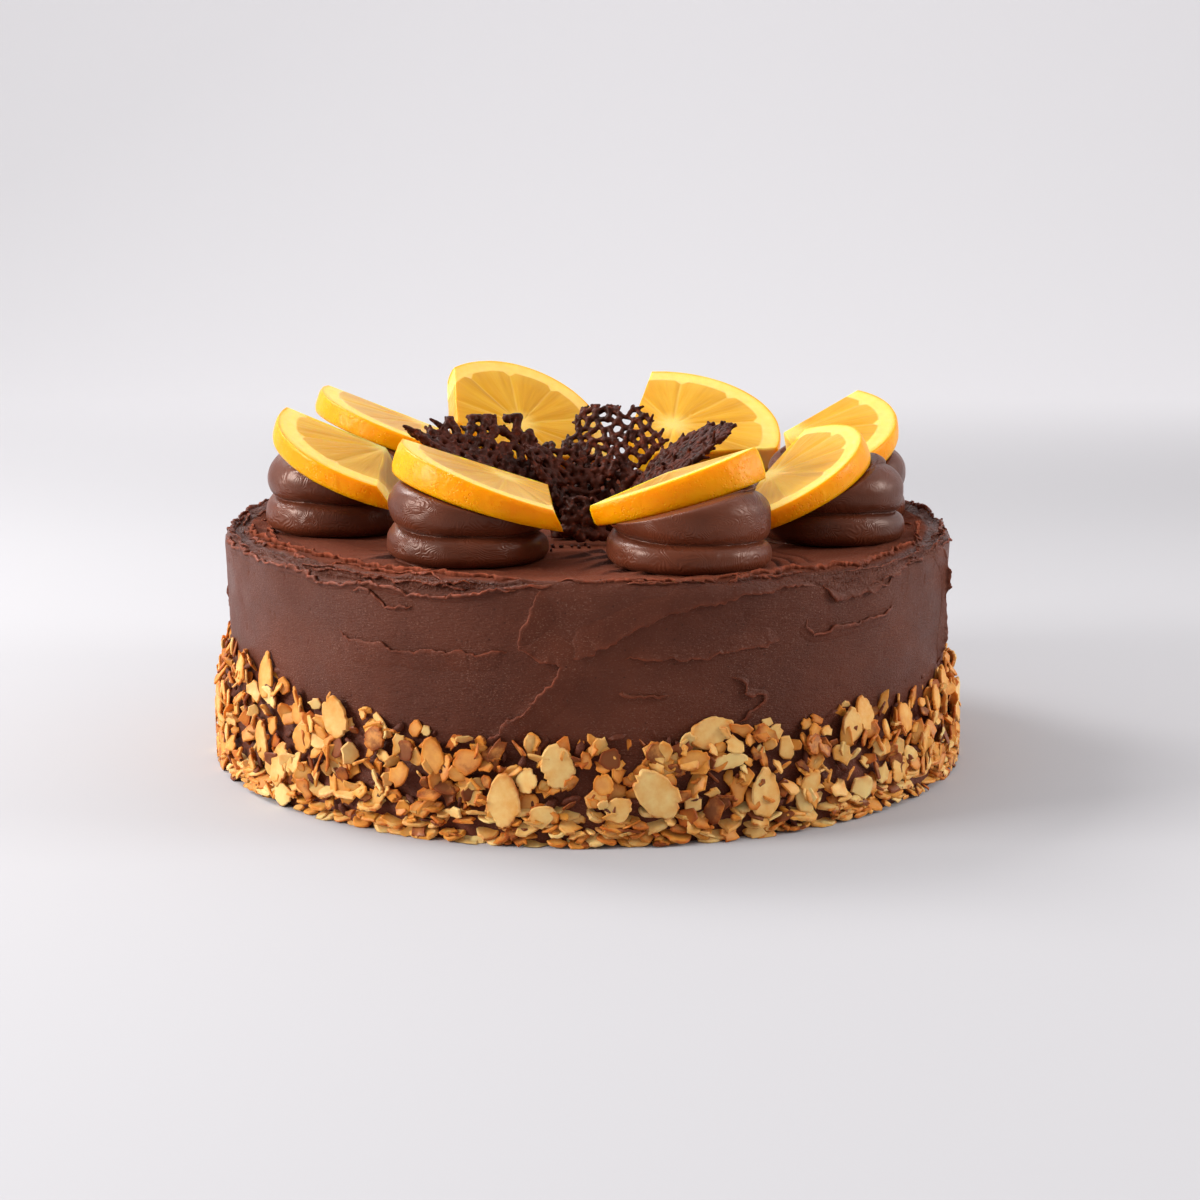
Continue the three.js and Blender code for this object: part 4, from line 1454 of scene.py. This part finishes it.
def keep_in_heap(piece, outermost):
    """Holds every flake above the ground and inside the heap's reach."""
    points = mesh_points(piece)
    pull = np.minimum(1, outermost / np.hypot(points[:, 0], points[:, 1]))
    points[:, :2] *= pull[:, None]
    points[:, 2] = np.maximum(points[:, 2], GROUND_GAP)
    set_mesh_points(piece, points)


def almond_material(name, pale, golden, brown, dark):
    look = Shading(name)
    where = look.place()
    tone = look.mark("tone")
    rim = look.mark("rim")
    cloud = look.noise(where, 210, 4, 0.6)
    shade = look.math("ADD", look.math("SUBTRACT", cloud, 0.5), tone)
    colour = look.ramp(shade, (0.0, pale), (0.45, golden), (0.9, brown))
    scorch = look.spread(look.noise(where, 240, 3, 0.6), 0.45, 0.7)
    edge = look.times(look.math("POWER", rim, 3.0), look.spread(scorch, 0, 1, 0.15, 0.9))
    colour = look.mix(edge, colour, brown)
    pale_middle = look.times(look.spread(rim, 0.75, 0.2), 0.2)
    colour = look.mix(pale_middle, colour, pale)
    burnt = look.spread(look.math("MULTIPLY_ADD", cloud, 0.6, tone), 1.02, 1.2, 0, 0.8)
    colour = look.mix(burnt, colour, dark)
    grain = look.noise(where, 900, 3, 0.6)
    relief = look.bump(grain, 0.2, 0.0003, look.bump(cloud, 0.25, 0.0006))
    return look.finish(
        Base_Color=colour,
        Roughness=look.spread(grain, 0.3, 0.7, 0.4, 0.6),
        Normal=relief,
        Subsurface_Weight=0.3,
        Subsurface_Scale=0.0014,
        Subsurface_Radius=(1.0, 0.6, 0.3),
        Specular_IOR_Level=0.38,
        Specular_Tint=(1.0, 0.88, 0.7, 1.0),
        IOR=1.45,
    )


# ---- the chocolate lace ---------------------------------------------------------------------

# The plates, and how much is added to the thickness of each one's strands, in millimetres.
LACE_FULLNESS = {
    "lace_left": 0.42, "lace_back": 0.1, "lace_right": 0.15, "lace_front": 0.3, "lace_heart": 0.2
}


class LaceSheet:
    """The middle of one lace plate, read from its CAD node by looking down on it."""

    def __init__(self, node, nest):
        self.fullness = LACE_FULLNESS[node]
        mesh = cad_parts[node].data
        corners = [tuple(vertex.co / MM) for vertex in mesh.vertices]
        tree = BVHTree.FromPolygons(corners, [tuple(face.vertices) for face in mesh.polygons])
        points = cad_points(node)
        low, high = points.min(0), points.max(0)
        # The middle of the plate's thickness, at the points of a fine grid on the ground.
        hits = []
        for x in np.arange(low[0], high[0], 0.8):
            for y in np.arange(low[1], high[1], 0.8):
                top = tree.ray_cast(Vector((x, y, high[2] + 5)), Vector((0, 0, -1)))
                if top[0] is None:
                    continue
                bottom = tree.ray_cast(Vector((x, y, low[2] - 5)), Vector((0, 0, 1)))
                hits.append((x, y, 0.5 * (top[0].z + bottom[0].z)))
        self.hits = np.array(hits)
        self.nest = nest
        relative = self.hits[:, :2] - nest
        self.radius = np.hypot(*relative.T)
        heading = np.arctan2(relative[:, 1], relative[:, 0])
        self.middle = math.atan2(np.sin(heading).mean(), np.cos(heading).mean())
        self.heading = (heading - self.middle + math.pi) % (2 * math.pi) - math.pi
        # A smooth sheet through them.
        terms = self._terms(self.radius, self.heading)
        self.fit = np.linalg.lstsq(terms, self.hits[:, 2], rcond=None)[0]
        self.ceiling = float(high[2])
        self.floor = float(low[2])
        self.leans_in = self.hits[self.radius.argmin(), 2] > self.hits[self.radius.argmax(), 2]
        # Lengths up the sheet from its foot, by which it is flattened.
        reach, foot = self.radius.max(), self.radius.min()
        steps = np.linspace(foot, reach, 60)
        height = self.height(steps, 0 * steps)
        slant = np.hypot(np.diff(steps), np.diff(height))
        self.steps = steps
        self.slant = np.concatenate([[0], np.cumsum(slant)])
        self.flare = (reach - foot) / self.slant[-1]
        self.start = foot / self.flare

    @staticmethod
    def _terms(radius, heading):
        r = radius / 30
        return np.stack([
            r**0, r, r**2, r**3, heading * r, heading**2 * r, heading * r**2, heading**2 * r**2
        ], 1)

    def height(self, radius, heading):
        return self._terms(radius, heading) @ self.fit

    def unrolled_size(self):
        """Half the width and the length of the flattened sheet."""
        wide = np.abs(self.heading).max() * self.flare
        return wide, self.start, self.start + self.slant[-1]

    def on_sheet(self, flat):
        """Places on the sheet for (n, 2) points of the flattened one, and which of them lie
        on the plate."""
        out = np.hypot(flat[:, 0], flat[:, 1])
        turn = np.arctan2(flat[:, 0], flat[:, 1]) / self.flare
        radius = np.interp(out - self.start, self.slant, self.steps)
        heading = self.middle + turn
        x = self.nest[0] + radius * np.cos(heading)
        y = self.nest[1] + radius * np.sin(heading)
        gap = np.hypot(x[:, None] - self.hits[:, 0], y[:, None] - self.hits[:, 1])
        close = gap.min(1) < 1.9
        inside = close & (out > self.start - 1) & (out < self.start + self.slant[-1] + 1)
        z = np.clip(self.height(radius, turn), self.floor + 0.8, self.ceiling - 1.4)
        return np.stack([x, y, z], 1), inside


def honeycomb(width, low, high, cell, rng):
    """Corners and links of a net of uneven six-sided cells over a flat sheet."""
    side = cell / math.sqrt(3)
    corners, index = [], {}
    rows = int((high - low) / (1.5 * side)) + 3
    columns = int(2 * width / cell) + 3
    for row in range(rows):
        for column in range(columns):
            x = (column + 0.5 * (row % 2)) * cell - width - cell
            y = low - side + row * 1.5 * side
            for k, lift in enumerate((0, side)):
                index[row, column, k] = len(corners)
                corners.append((x, y + lift))
    links = []
    for row in range(rows):
        for column in range(columns):
            links.append((index[row, column, 0], index[row, column, 1]))
            for step in (-1, 0):
                other = (row + 1, column + step + row % 2, 0)
                if other in index:
                    links.append((index[row, column, 1], index[other]))
    corners = np.array(corners)
    corners += rng.normal(0, 0.13 * cell, corners.shape)
    return corners, links


def lace_net(sheet, settings, seed):
    """Corners, links and thicknesses of the strands of one shard."""
    rng = np.random.default_rng(seed)
    spread, low, high = sheet.unrolled_size()
    width = high * math.sin(min(spread, 1.5)) + 3
    flat, links = honeycomb(width, low, high, settings.cell / MM, rng)
    points, inside = sheet.on_sheet(flat)
    points[:, 2] += 0.55 * layered_noise(points, 7, 81, 2)
    kept = [(a, b) for a, b in links if inside[a] and inside[b] and rng.random() > 0.05]
    used = sorted({corner for pair in kept for corner in pair})
    renumber = {corner: k for k, corner in enumerate(used)}
    kept = [(renumber[a], renumber[b]) for a, b in kept]
    points = points[used]
    out = np.hypot(flat[used, 0], flat[used, 1])
    share = np.clip((out - low) / (high - low), 0, 1)
    if sheet.leans_in:
        share = 1 - share
    thick = 1.3 - 0.5 * share + sheet.fullness + rng.normal(0, 0.14, len(points))
    # Teeth that stick out at the rim, and stubs on some of the other corners.
    degree = np.bincount(np.array(kept).ravel(), minlength=len(points))
    rim = np.flatnonzero((degree <= 2) & (share > 0.55))
    teeth, roots = [], []
    for corner in np.repeat(rim, 2):
        away = points[corner] - np.array([*sheet.nest, points[:, 2].min()])
        away = away / np.linalg.norm(away) + rng.normal(0, 0.38, 3)
        teeth.append(points[corner] + away * rng.uniform(1.5, 2.7))
        roots.append(corner)
    for corner in np.flatnonzero(rng.random(len(points)) < 0.3):
        teeth.append(points[corner] + rng.normal(0, 1.1, 3))
        roots.append(corner)
    teeth = np.array(teeth)
    teeth[:, 2] = np.clip(teeth[:, 2], sheet.floor + 0.6, sheet.ceiling - 0.6)
    links = kept + [(root, len(points) + k) for k, root in enumerate(roots)]
    points = np.vstack([points, teeth])
    thick = np.append(np.maximum(thick, 0.5), np.full(len(teeth), 0.46))
    return points, links, thick


def strand_tree():
    """Round strands along a mesh's edges, with a lump of chocolate at every corner."""
    tree = PieceTree("strands", Net="Geometry", Lump="Float", Material="Material")
    net, thick = tree.given["Net"], tree.named("FLOAT", "thick")
    split = tree.add("GeometryNodeSplitEdges", {0: net})
    curve = tree.add("GeometryNodeMeshToCurve", {0: split.outputs[0]})
    section = tree.add("GeometryNodeCurvePrimitiveCircle", {"Resolution": 8, "Radius": 1.0})
    tube = tree.add("GeometryNodeCurveToMesh", {
        "Curve": curve.outputs[0],
        "Profile Curve": section.outputs[0],
        "Scale": thick,
        "Fill Caps": True,
    })
    ball = tree.add("GeometryNodeMeshIcoSphere", {"Radius": 1.0, "Subdivisions": 2})
    size = tree.add("ShaderNodeMath", {0: thick, 1: tree.given["Lump"]}, operation="MULTIPLY")
    lumps = tree.add("GeometryNodeInstanceOnPoints", {
        "Points": net, "Instance": ball.outputs[0], "Scale": size.outputs[0]})
    real = tree.add("GeometryNodeRealizeInstances", {0: lumps.outputs[0]})
    both = tree.add("GeometryNodeJoinGeometry", {0: tube.outputs[0]})
    tree.join(real.outputs[0], both.inputs[0])
    return tree.finish(both)


def lace_shard(node, sheet, settings, seed, material):
    """One shard: a net of strands, melted together and roughened."""
    points, links, thick = lace_net(sheet, settings, seed)
    mesh = bpy.data.meshes.new(node)
    mesh.from_pydata((points * MM).tolist(), links, [])
    mark_points(mesh, "thick", thick * MM)
    net = placed(node + "_net", mesh)
    tree = bpy.data.node_groups.get("strands") or strand_tree()
    add_nodes_modifier(net, tree, Lump=1.2, Material=material)
    melt = net.modifiers.new("melt", "REMESH")
    melt.mode = "VOXEL"
    melt.voxel_size = settings.fineness
    melt.use_smooth_shade = True
    piece = baked(net, "chocolate_" + node)
    skin = mesh_points(piece)
    rough = 0.4 * layered_noise(skin, 1.7, 83, 2) + 0.2 * layered_noise(skin, 0.8, 85, 1)
    skin = skin + mesh_points(piece, "normal") * rough[:, None]
    skin[:, 2] = np.clip(skin[:, 2], sheet.floor + 0.1, sheet.ceiling - 0.05)
    set_mesh_points(piece, skin)
    return piece


def lace_material(settings):
    look = Shading("dark_chocolate_lace")
    where = look.place()
    tone = look.noise(where, 120, 4, 0.6)
    crisp = look.spread(look.noise(where, 700, 3, 0.6), 0.52, 0.75, 0, 0.6)
    colour = look.mix(look.spread(tone, 0.3, 0.7), settings.shade, settings.colour)
    colour = look.mix(crisp, colour, settings.edge_colour)
    relief = look.bump(look.noise(where, 1100, 4, 0.65), 0.5, 0.0004)
    return look.finish(
        Base_Color=colour,
        Roughness=look.spread(tone, 0.3, 0.7, 0.34, 0.5),
        Normal=relief,
        Specular_IOR_Level=0.2,
        Specular_Tint=(1.0, 0.62, 0.48, 1.0),
        IOR=1.42,
    )


def nest_centre():
    """Where the lace's petals spring from: the middle of the ring that their feet stand on."""
    feet = []
    for node in ("lace_left", "lace_back", "lace_right"):
        points = cad_points(node)
        feet.append(points[points[:, 2] < points[:, 2].min() + 0.3, :2])
    return circle_through(np.vstack(feet))[0]


def lace_crumbs(nest, top, material):
    """Crumbs of chocolate on the cake's top, by the nest's foot."""
    rng = np.random.default_rng(91)
    count = 16
    angle = rng.uniform(math.radians(225), math.radians(315), count)
    reach = 15 + rng.exponential(5, count)
    places = turned(reach, angle, top + 0.2) + [*nest, 0]
    sizes = rng.uniform(0.5, 1.5, (count, 1)) * rng.uniform(0.8, 1.3, (count, 3))
    turns = rng.uniform(0, 6.28, (count, 3))
    shapes = [crumb(f"crumb_{k}", 95 + k) for k in range(3)]
    kinds = rng.integers(0, len(shapes), count)
    return scattered(
        "chocolate_crumbs", places, turns, sizes, np.zeros(count), kinds, shapes, material)


# ---- the almond border's pieces -------------------------------------------------------------


def even_angles(count, rng):
    """Headings spread evenly round the cake, in random order."""
    places = np.arange(count) + rng.uniform(-0.5, 0.5, count)
    return rng.permutation(places / count) * 2 * math.pi


def almond_flakes(look, border, material):
    """The whole flakes: those listed at the front, more of them all round, and a row that
    lies stacked along the foot."""
    rng = np.random.default_rng(101)
    shown = np.array(SHOWN_FLAKES, float)
    around = np.arange(72, 290, 6.3)  # the sides and the back, in degrees from the front
    around += rng.uniform(-2.5, 2.5, len(around))
    heading = np.radians(np.append(shown[:, 0], around) - 90)
    more = len(around)
    height = np.append(shown[:, 1], rng.uniform(9, 31, more))
    length = np.append(shown[:, 2], rng.uniform(9, 17, more))
    wide = length * np.append(shown[:, 3], rng.uniform(0.5, 0.8, more))
    lean = np.radians(np.append(shown[:, 4], rng.normal(0, 45, more)))
    tone = np.append(shown[:, 5], rng.uniform(0.1, 0.6, more))
    places = border.place(heading, height, border.depth(heading, height) + 0.3)
    turns = standing_turns(heading, lean, 0.10, rng)
    foot = look.flakes
    low = even_angles(foot, rng)
    low_height = 0.9 + 9.5 * rng.uniform(0, 1, foot) ** 1.25
    sunk = rng.uniform(-4.2, -2.2, foot)
    stacked_places = border.place(low, low_height, border.depth(low, low_height) + sunk)
    places = np.vstack([places, stacked_places])
    turns = np.vstack([turns, lying_turns(low, 0.16, rng)])
    low_length = look.flake_length / MM * rng.uniform(0.7, 1.3, foot)
    length = np.append(length, low_length)
    wide = np.append(wide, low_length * rng.uniform(0.6, 0.85, foot))
    tone = np.append(tone, rng.uniform(0.0, 0.5, foot))
    count = len(places)
    sizes = np.stack([length, wide, rng.uniform(0.8, 1.3, count)], 1)
    whole = [almond_flake(f"flake_{k}", 110 + k, 36, FLAKE_SECTION) for k in range(6)]
    stacked = [almond_flake(f"flake_{k}", 110 + k, 20, CHIP_SECTION) for k in range(6, 10)]
    shapes = whole + stacked
    kinds = rng.integers(0, len(whole), count)
    kinds[-foot:] = len(whole) + rng.integers(0, len(stacked), foot)
    return scattered("almond_flakes", places, turns, sizes, tone, kinds, shapes, material)


def almond_chips(name, seed, count, spread, border, material, sizes, tones):
    """Broken bits of flakes, pressed in at all angles. The larger `spread` is, the more of them
    lie low. `sizes` are the ends of their lengths, and `tones` their toast's mean and scatter."""
    rng = np.random.default_rng(seed)
    angle = even_angles(count, rng)
    share = rng.uniform(0, 1, count) ** spread
    height = 1.2 + (border.top(angle) - 0.5) * share
    off = border.depth(angle, height) - 0.4 + rng.uniform(-1.3, 0.8, count)
    places = border.place(angle, height, off)
    turns = standing_turns(angle, rng.uniform(0, 6.3, count), 0.42, rng)
    low = height < 8
    turns[low] = lying_turns(angle, 0.3, rng)[low]
    length = rng.uniform(*sizes, count)
    thick = rng.uniform(0.5, 0.9, count)
    size = np.stack([length, length * rng.uniform(0.6, 0.95, count), thick], 1)
    shapes = [almond_chip(f"{name}_{k}", seed + 10 + k) for k in range(8)]
    kinds = rng.integers(0, len(shapes), count)
    tone = rng.normal(*tones, count).clip(0, 1)
    return scattered(name, places, turns, size, tone, kinds, shapes, material)


def chocolate_smears(border, material, count):
    """Lumps and curls of frosting dragged up between the almonds."""
    rng = np.random.default_rng(104)
    angle = even_angles(count, rng)
    height = 3 + (border.top(angle) + 1) * rng.uniform(0, 1, count) ** 0.7
    places = border.place(angle, height, border.depth(angle, height) - 1.2)
    turns = standing_turns(angle, rng.uniform(0, 6.3, count), 0.5, rng)
    length = rng.uniform(2, 6.5, count)
    sizes = np.stack([length, length * rng.uniform(0.3, 0.6, count), 0.35 * length], 1)
    shapes = [crumb(f"smear_{k}", 120 + k) for k in range(5)]
    kinds = rng.integers(0, len(shapes), count)
    return scattered(
        "chocolate_smears", places, turns, sizes, 0 * angle, kinds, shapes, material)


# ---- the stage ------------------------------------------------------------------------------


def make_backdrop(settings):
    """A floor that curves up into a wall, far enough off to stay clear of the turned camera."""
    bend = np.linspace(0, math.pi / 2, 17)
    depth = np.concatenate([[-3000], 1500 + 500 * np.sin(bend), [2000]])
    height = np.concatenate([[0], 500 - 500 * np.cos(bend), [3000]])
    points = [(x, y, z) for y, z in zip(depth, height) for x in (-3500, 3500)]
    backdrop = make_mesh("backdrop", points, [grid_faces(len(depth), 2, wrap=False)])
    look = Shading("pale_floor")
    glow = look.spread(look.axes(look.place())[1], 0.5, 1.6, 0, settings.glow)
    backdrop.data.materials.append(look.finish(
        Base_Color=settings.floor_colour,
        Roughness=0.8,
        Specular_IOR_Level=0.2,
        Emission_Color=settings.floor_colour,
        Emission_Strength=glow,
    ))


def make_lights(settings):
    """A bright sky behind and above the cake, a dimmer one in front of it, and three lamps."""
    world = bpy.data.worlds.new("world")
    bpy.context.scene.world = world
    world.use_nodes = True
    tree = NodeTree(world.node_tree)
    where = tree.add("ShaderNodeTexCoord").outputs["Generated"]
    parts = tree.add("ShaderNodeSeparateXYZ", {0: where})
    inputs = dict(enumerate((parts.outputs[1], -0.9, 0.3, settings.front, settings.sky)))
    strength = tree.add("ShaderNodeMapRange", inputs, interpolation_type="SMOOTHSTEP")
    sky = world.node_tree.nodes["Background"]
    tree.join(srgb(238, 238, 240), sky.inputs["Color"])
    tree.join(strength.outputs[0], sky.inputs["Strength"])
    for name, place, power, size in (
        ("key", (-0.75, 0.55, 1.05), settings.key, 0.5),
        ("fill", (1.1, -0.15, 0.5), settings.fill, 0.4),
        ("left", (-1.1, -0.3, 0.5), settings.side, 0.4),
    ):
        lamp = bpy.data.lights.new(name, "AREA")
        lamp.energy = power
        lamp.size = size
        stand = placed(name, lamp)
        stand.location = place
        aim = Vector((0, 0, 0.06)) - Vector(place)
        stand.rotation_euler = aim.to_track_quat("-Z", "Y").to_euler()


def make_camera():
    """A camera in front of the cake and a little above it, looking slightly down."""
    lens = bpy.data.cameras.new("camera")
    lens.lens = 55.58
    lens.sensor_width = 36
    lens.shift_x = 0.010
    lens.shift_y = 0.0183
    camera = placed("camera", lens)
    camera.location = (0, -0.624, 0.1646)
    camera.rotation_euler = (math.radians(78.70), 0, 0)
    bpy.context.scene.camera = camera
    bpy.context.scene.view_settings.view_transform = "Standard"


# ---- settings, operators and panel ----------------------------------------------------------


def colour_setting(name, description, *values):
    return bpy.props.FloatVectorProperty(
        name=name, description=description, default=srgb(*values), size=4, subtype="COLOR",
        min=0, max=1,
    )


def length_setting(name, description, millimetres):
    return bpy.props.FloatProperty(
        name=name, description=description, default=millimetres * MM, unit="LENGTH", min=0,
        precision=5,
    )


def level_setting(name, description, default, unit="NONE"):
    return bpy.props.FloatProperty(
        name=name, description=description, default=default, unit=unit, min=0)


def count_setting(name, description, default):
    return bpy.props.IntProperty(name=name, description=description, default=default, min=1)


class CakeFrosting(bpy.types.PropertyGroup):
    colour: colour_setting("Colour", "The frosting's lighter tone", 98, 48, 31)
    shade: colour_setting("Shade", "The frosting's darker tone", 82, 38, 24)
    # Painted light: a lighter, warmer tone painted on the top, where the light falls from above.
    lit_top_colour: colour_setting("Top", "The tone of the frosting on top", 112, 51, 28)
    # Painted light: the lighter, redder colour of the glow and highlight painted on thin edges of
    # frosting.
    edge_colour: colour_setting("Edge", "Thin edges that the knife left", 148, 72, 46)
    # Painted highlights: the pale colour of the tiny glints painted into the frosting.
    glint_colour: colour_setting("Flecks", "Fine flecks in the frosting", 152, 108, 90)


class CakeSwirls(bpy.types.PropertyGroup):
    pitch: length_setting("Pitch", "Height of a turn of the rope above the lowest", 15.5)
    groove: length_setting("Groove", "Depth of the groove between two turns", 4.2)
    colour: colour_setting("Colour", "The buttercream's lighter tone", 104, 51, 31)
    shade: colour_setting("Shade", "The buttercream's darker tone", 80, 38, 23)


class CakeSlices(bpy.types.PropertyGroup):
    rind: colour_setting("Rind", "The rind's lighter tone", 255, 174, 0)
    rind_deep: colour_setting("Deep rind", "The rind's darker tone", 255, 138, 0)
    pith: colour_setting("Pith", "The pith's lighter tone", 250, 212, 124)
    pith_warm: colour_setting("Warm pith", "The pith's darker tone", 244, 194, 84)
    flesh: colour_setting("Flesh", "The usual tone of the flesh", 212, 152, 22)
    flesh_deep: colour_setting("Deep flesh", "The flesh's darkest tone", 194, 132, 12)
    flesh_pale: colour_setting("Pale flesh", "The flesh's palest tone", 224, 172, 50)
    membrane: colour_setting("Membrane", "Membranes and core", 238, 200, 104)


class CakeAlmonds(bpy.types.PropertyGroup):
    flakes: count_setting("Flakes", "Number of flakes stacked along the foot", 330)
    bits: count_setting("Bits", "Number of broken bits in the border", 1500)
    flake_length: length_setting("Length", "Mean length of a flake along the foot", 9.5)
    pale: colour_setting("Pale", "The palest almond", 240, 202, 130)
    golden: colour_setting("Golden", "The usual almond", 224, 148, 58)
    brown: colour_setting("Brown", "The most toasted almond", 186, 90, 22)
    dark: colour_setting("Dark", "Burnt spots and skin", 98, 42, 16)


class CakeLace(bpy.types.PropertyGroup):
    cell: length_setting("Cell", "Width of a hole and one strand", 4.3)
    fineness: length_setting("Fineness", "Size of the smallest detail", 0.37)
    colour: colour_setting("Colour", "The chocolate's lighter tone", 72, 28, 16)
    shade: colour_setting("Shade", "The chocolate's darker tone", 38, 15, 10)
    edge_colour: colour_setting("Crisp", "Thin crisp spots", 132, 54, 29)


class CakeStage(bpy.types.PropertyGroup):
    floor_colour: colour_setting("Floor", "Colour of the floor and the backdrop", 184, 182, 184)
    glow: level_setting("Backdrop glow", "Light that the backdrop gives off", 0.8)
    sky: level_setting("Sky", "Brightness of the sky behind the cake", 1.3)
    front: level_setting("Front", "Brightness of the sky in front of the cake", 0.42)
    key: level_setting("Key light", "Power of the key light", 11, "POWER")
    side: level_setting("Side light", "Power of the light on the left", 14, "POWER")
    fill: level_setting("Fill light", "Power of the fill light", 6.5, "POWER")


class CakeSettings(bpy.types.PropertyGroup):
    frosting: bpy.props.PointerProperty(type=CakeFrosting)
    swirls: bpy.props.PointerProperty(type=CakeSwirls)
    slices: bpy.props.PointerProperty(type=CakeSlices)
    almonds: bpy.props.PointerProperty(type=CakeAlmonds)
    lace: bpy.props.PointerProperty(type=CakeLace)
    stage: bpy.props.PointerProperty(type=CakeStage)


def settings_of(context):
    return context.scene.cake_settings


class CAKE_OT_frosting(bpy.types.Operator):
    """Make the frosting on the side and top, with the edges that the knife left"""

    bl_idname = "cake.frosting"
    bl_label = "Frosting"

    def execute(self, context):
        form = CakeForm()
        edges = drawn_edges()
        material = frosting_material(settings_of(context).frosting)
        skin, rows, side = frosting_side(form, edges)
        pieces = (side, frosting_top(form, edges), frosting_sheets(form, edges, skin, rows))
        for piece in pieces:
            finish_piece(piece, "frosting", "frosted_cake", material=material)
        return {"FINISHED"}


class CAKE_OT_swirls(bpy.types.Operator):
    """Make the swirls of buttercream, each pressed by the slice that leans on it"""

    bl_idname = "cake.swirls"
    bl_label = "Piped swirls"

    def execute(self, context):
        settings = settings_of(context).swirls
        material = buttercream_material(settings)
        slices = [SliceForm(f"orange_slice_{k + 1}") for k in range(TOPPING_COUNT)]
        base = CakeForm().top
        for number in range(1, TOPPING_COUNT + 1):
            piece = piped_swirl(number, settings, slices, base)
            finish_piece(piece, "buttercream", f"swirl_{number}", material=material)
        return {"FINISHED"}


class CAKE_OT_slices(bpy.types.Operator):
    """Make the slices of orange"""

    bl_idname = "cake.slices"
    bl_label = "Orange slices"

    def execute(self, context):
        material = orange_material(settings_of(context).slices)
        for number in range(1, TOPPING_COUNT + 1):
            node = f"orange_slice_{number}"
            piece = orange_slice(node, f"slice_of_orange_{number}", number)
            finish_piece(piece, "orange", node, material=material)
        return {"FINISHED"}


class CAKE_OT_almonds(bpy.types.Operator):
    """Make the border of toasted almond flakes and bits round the cake's foot"""

    bl_idname = "cake.almonds"
    bl_label = "Almond border"

    def execute(self, context):
        settings = settings_of(context)
        form = CakeForm()
        border = BorderForm(form)
        frosting = frosting_material(settings.frosting)
        finish_piece(heap_core(border), "frosting", "almond_border", material=frosting)
        look = settings.almonds
        tones = look.pale, look.golden, look.brown
        dark = look.dark
        toasted = almond_material("toasted_almond", *tones, dark)
        darker = almond_material("browned_almond", tones[1], tones[2], dark, dark)
        loose = (
            almond_flakes(look, border, toasted),
            almond_chips(
                "almond_bits", 102, look.bits, 1.2, border, toasted, (4, 10.8), (0.52, 0.26)),
            almond_chips(
                "browned_bits", 103, look.bits // 8, 0.8, border, darker, (4, 8.5), (0.4, 0.25)),
        )
        smears = chocolate_smears(border, frosting, look.bits // 6)
        for piece in (*loose, smears):
            keep_in_heap(piece, border.outermost - 0.1)
        for piece in loose:
            finish_piece(piece, "almond", "almond_border")
        finish_piece(smears, "frosting", "almond_border")
        return {"FINISHED"}


class CAKE_OT_lace(bpy.types.Operator):
    """Make the nest of dark chocolate lace, and its crumbs"""

    bl_idname = "cake.lace"
    bl_label = "Chocolate lace"

    def execute(self, context):
        settings = settings_of(context).lace
        material = lace_material(settings)
        nest = nest_centre()
        for seed, node in enumerate(LACE_FULLNESS):
            piece = lace_shard(node, LaceSheet(node, nest), settings, 40 + seed, material)
            finish_piece(piece, "lace", node, material=material)
        crumbs = lace_crumbs(nest, CakeForm().top, material)
        finish_piece(crumbs, "lace", "lace_heart")
        return {"FINISHED"}


class CAKE_OT_stage(bpy.types.Operator):
    """Make the floor and backdrop, the lights and the camera"""

    bl_idname = "cake.stage"
    bl_label = "Stage"

    def execute(self, context):
        settings = settings_of(context).stage
        make_backdrop(settings)
        make_lights(settings)
        make_camera()
        return {"FINISHED"}


OPERATORS = (
    CAKE_OT_frosting, CAKE_OT_swirls, CAKE_OT_slices, CAKE_OT_almonds, CAKE_OT_lace,
    CAKE_OT_stage,
)


class CAKE_PT_panel(bpy.types.Panel):
    """Lists the cake's pieces and their settings"""

    bl_idname = "CAKE_PT_panel"
    bl_label = "Chocolate orange cake"
    bl_space_type = "VIEW_3D"
    bl_region_type = "UI"
    bl_category = "Cake"

    def draw(self, context):
        settings = settings_of(context)
        for operator in OPERATORS:
            box = self.layout.box()
            box.operator(operator.bl_idname)
            group = getattr(settings, operator.bl_idname.split(".")[1])
            for label in group.__annotations__:
                box.prop(group, label)


CLASSES = (
    CakeFrosting, CakeSwirls, CakeSlices, CakeAlmonds, CakeLace, CakeStage, CakeSettings,
    *OPERATORS, CAKE_PT_panel,
)


def register():
    for entry in CLASSES:
        bpy.utils.register_class(entry)
    bpy.types.Scene.cake_settings = bpy.props.PointerProperty(type=CakeSettings)


def unregister():
    del bpy.types.Scene.cake_settings
    for entry in reversed(CLASSES):
        bpy.utils.unregister_class(entry)


def main():
    register()
    bpy.ops.cake.frosting()
    bpy.ops.cake.swirls()
    bpy.ops.cake.slices()
    bpy.ops.cake.almonds()
    bpy.ops.cake.lace()
    bpy.ops.cake.stage()


if __name__ == "__main__":
    main()
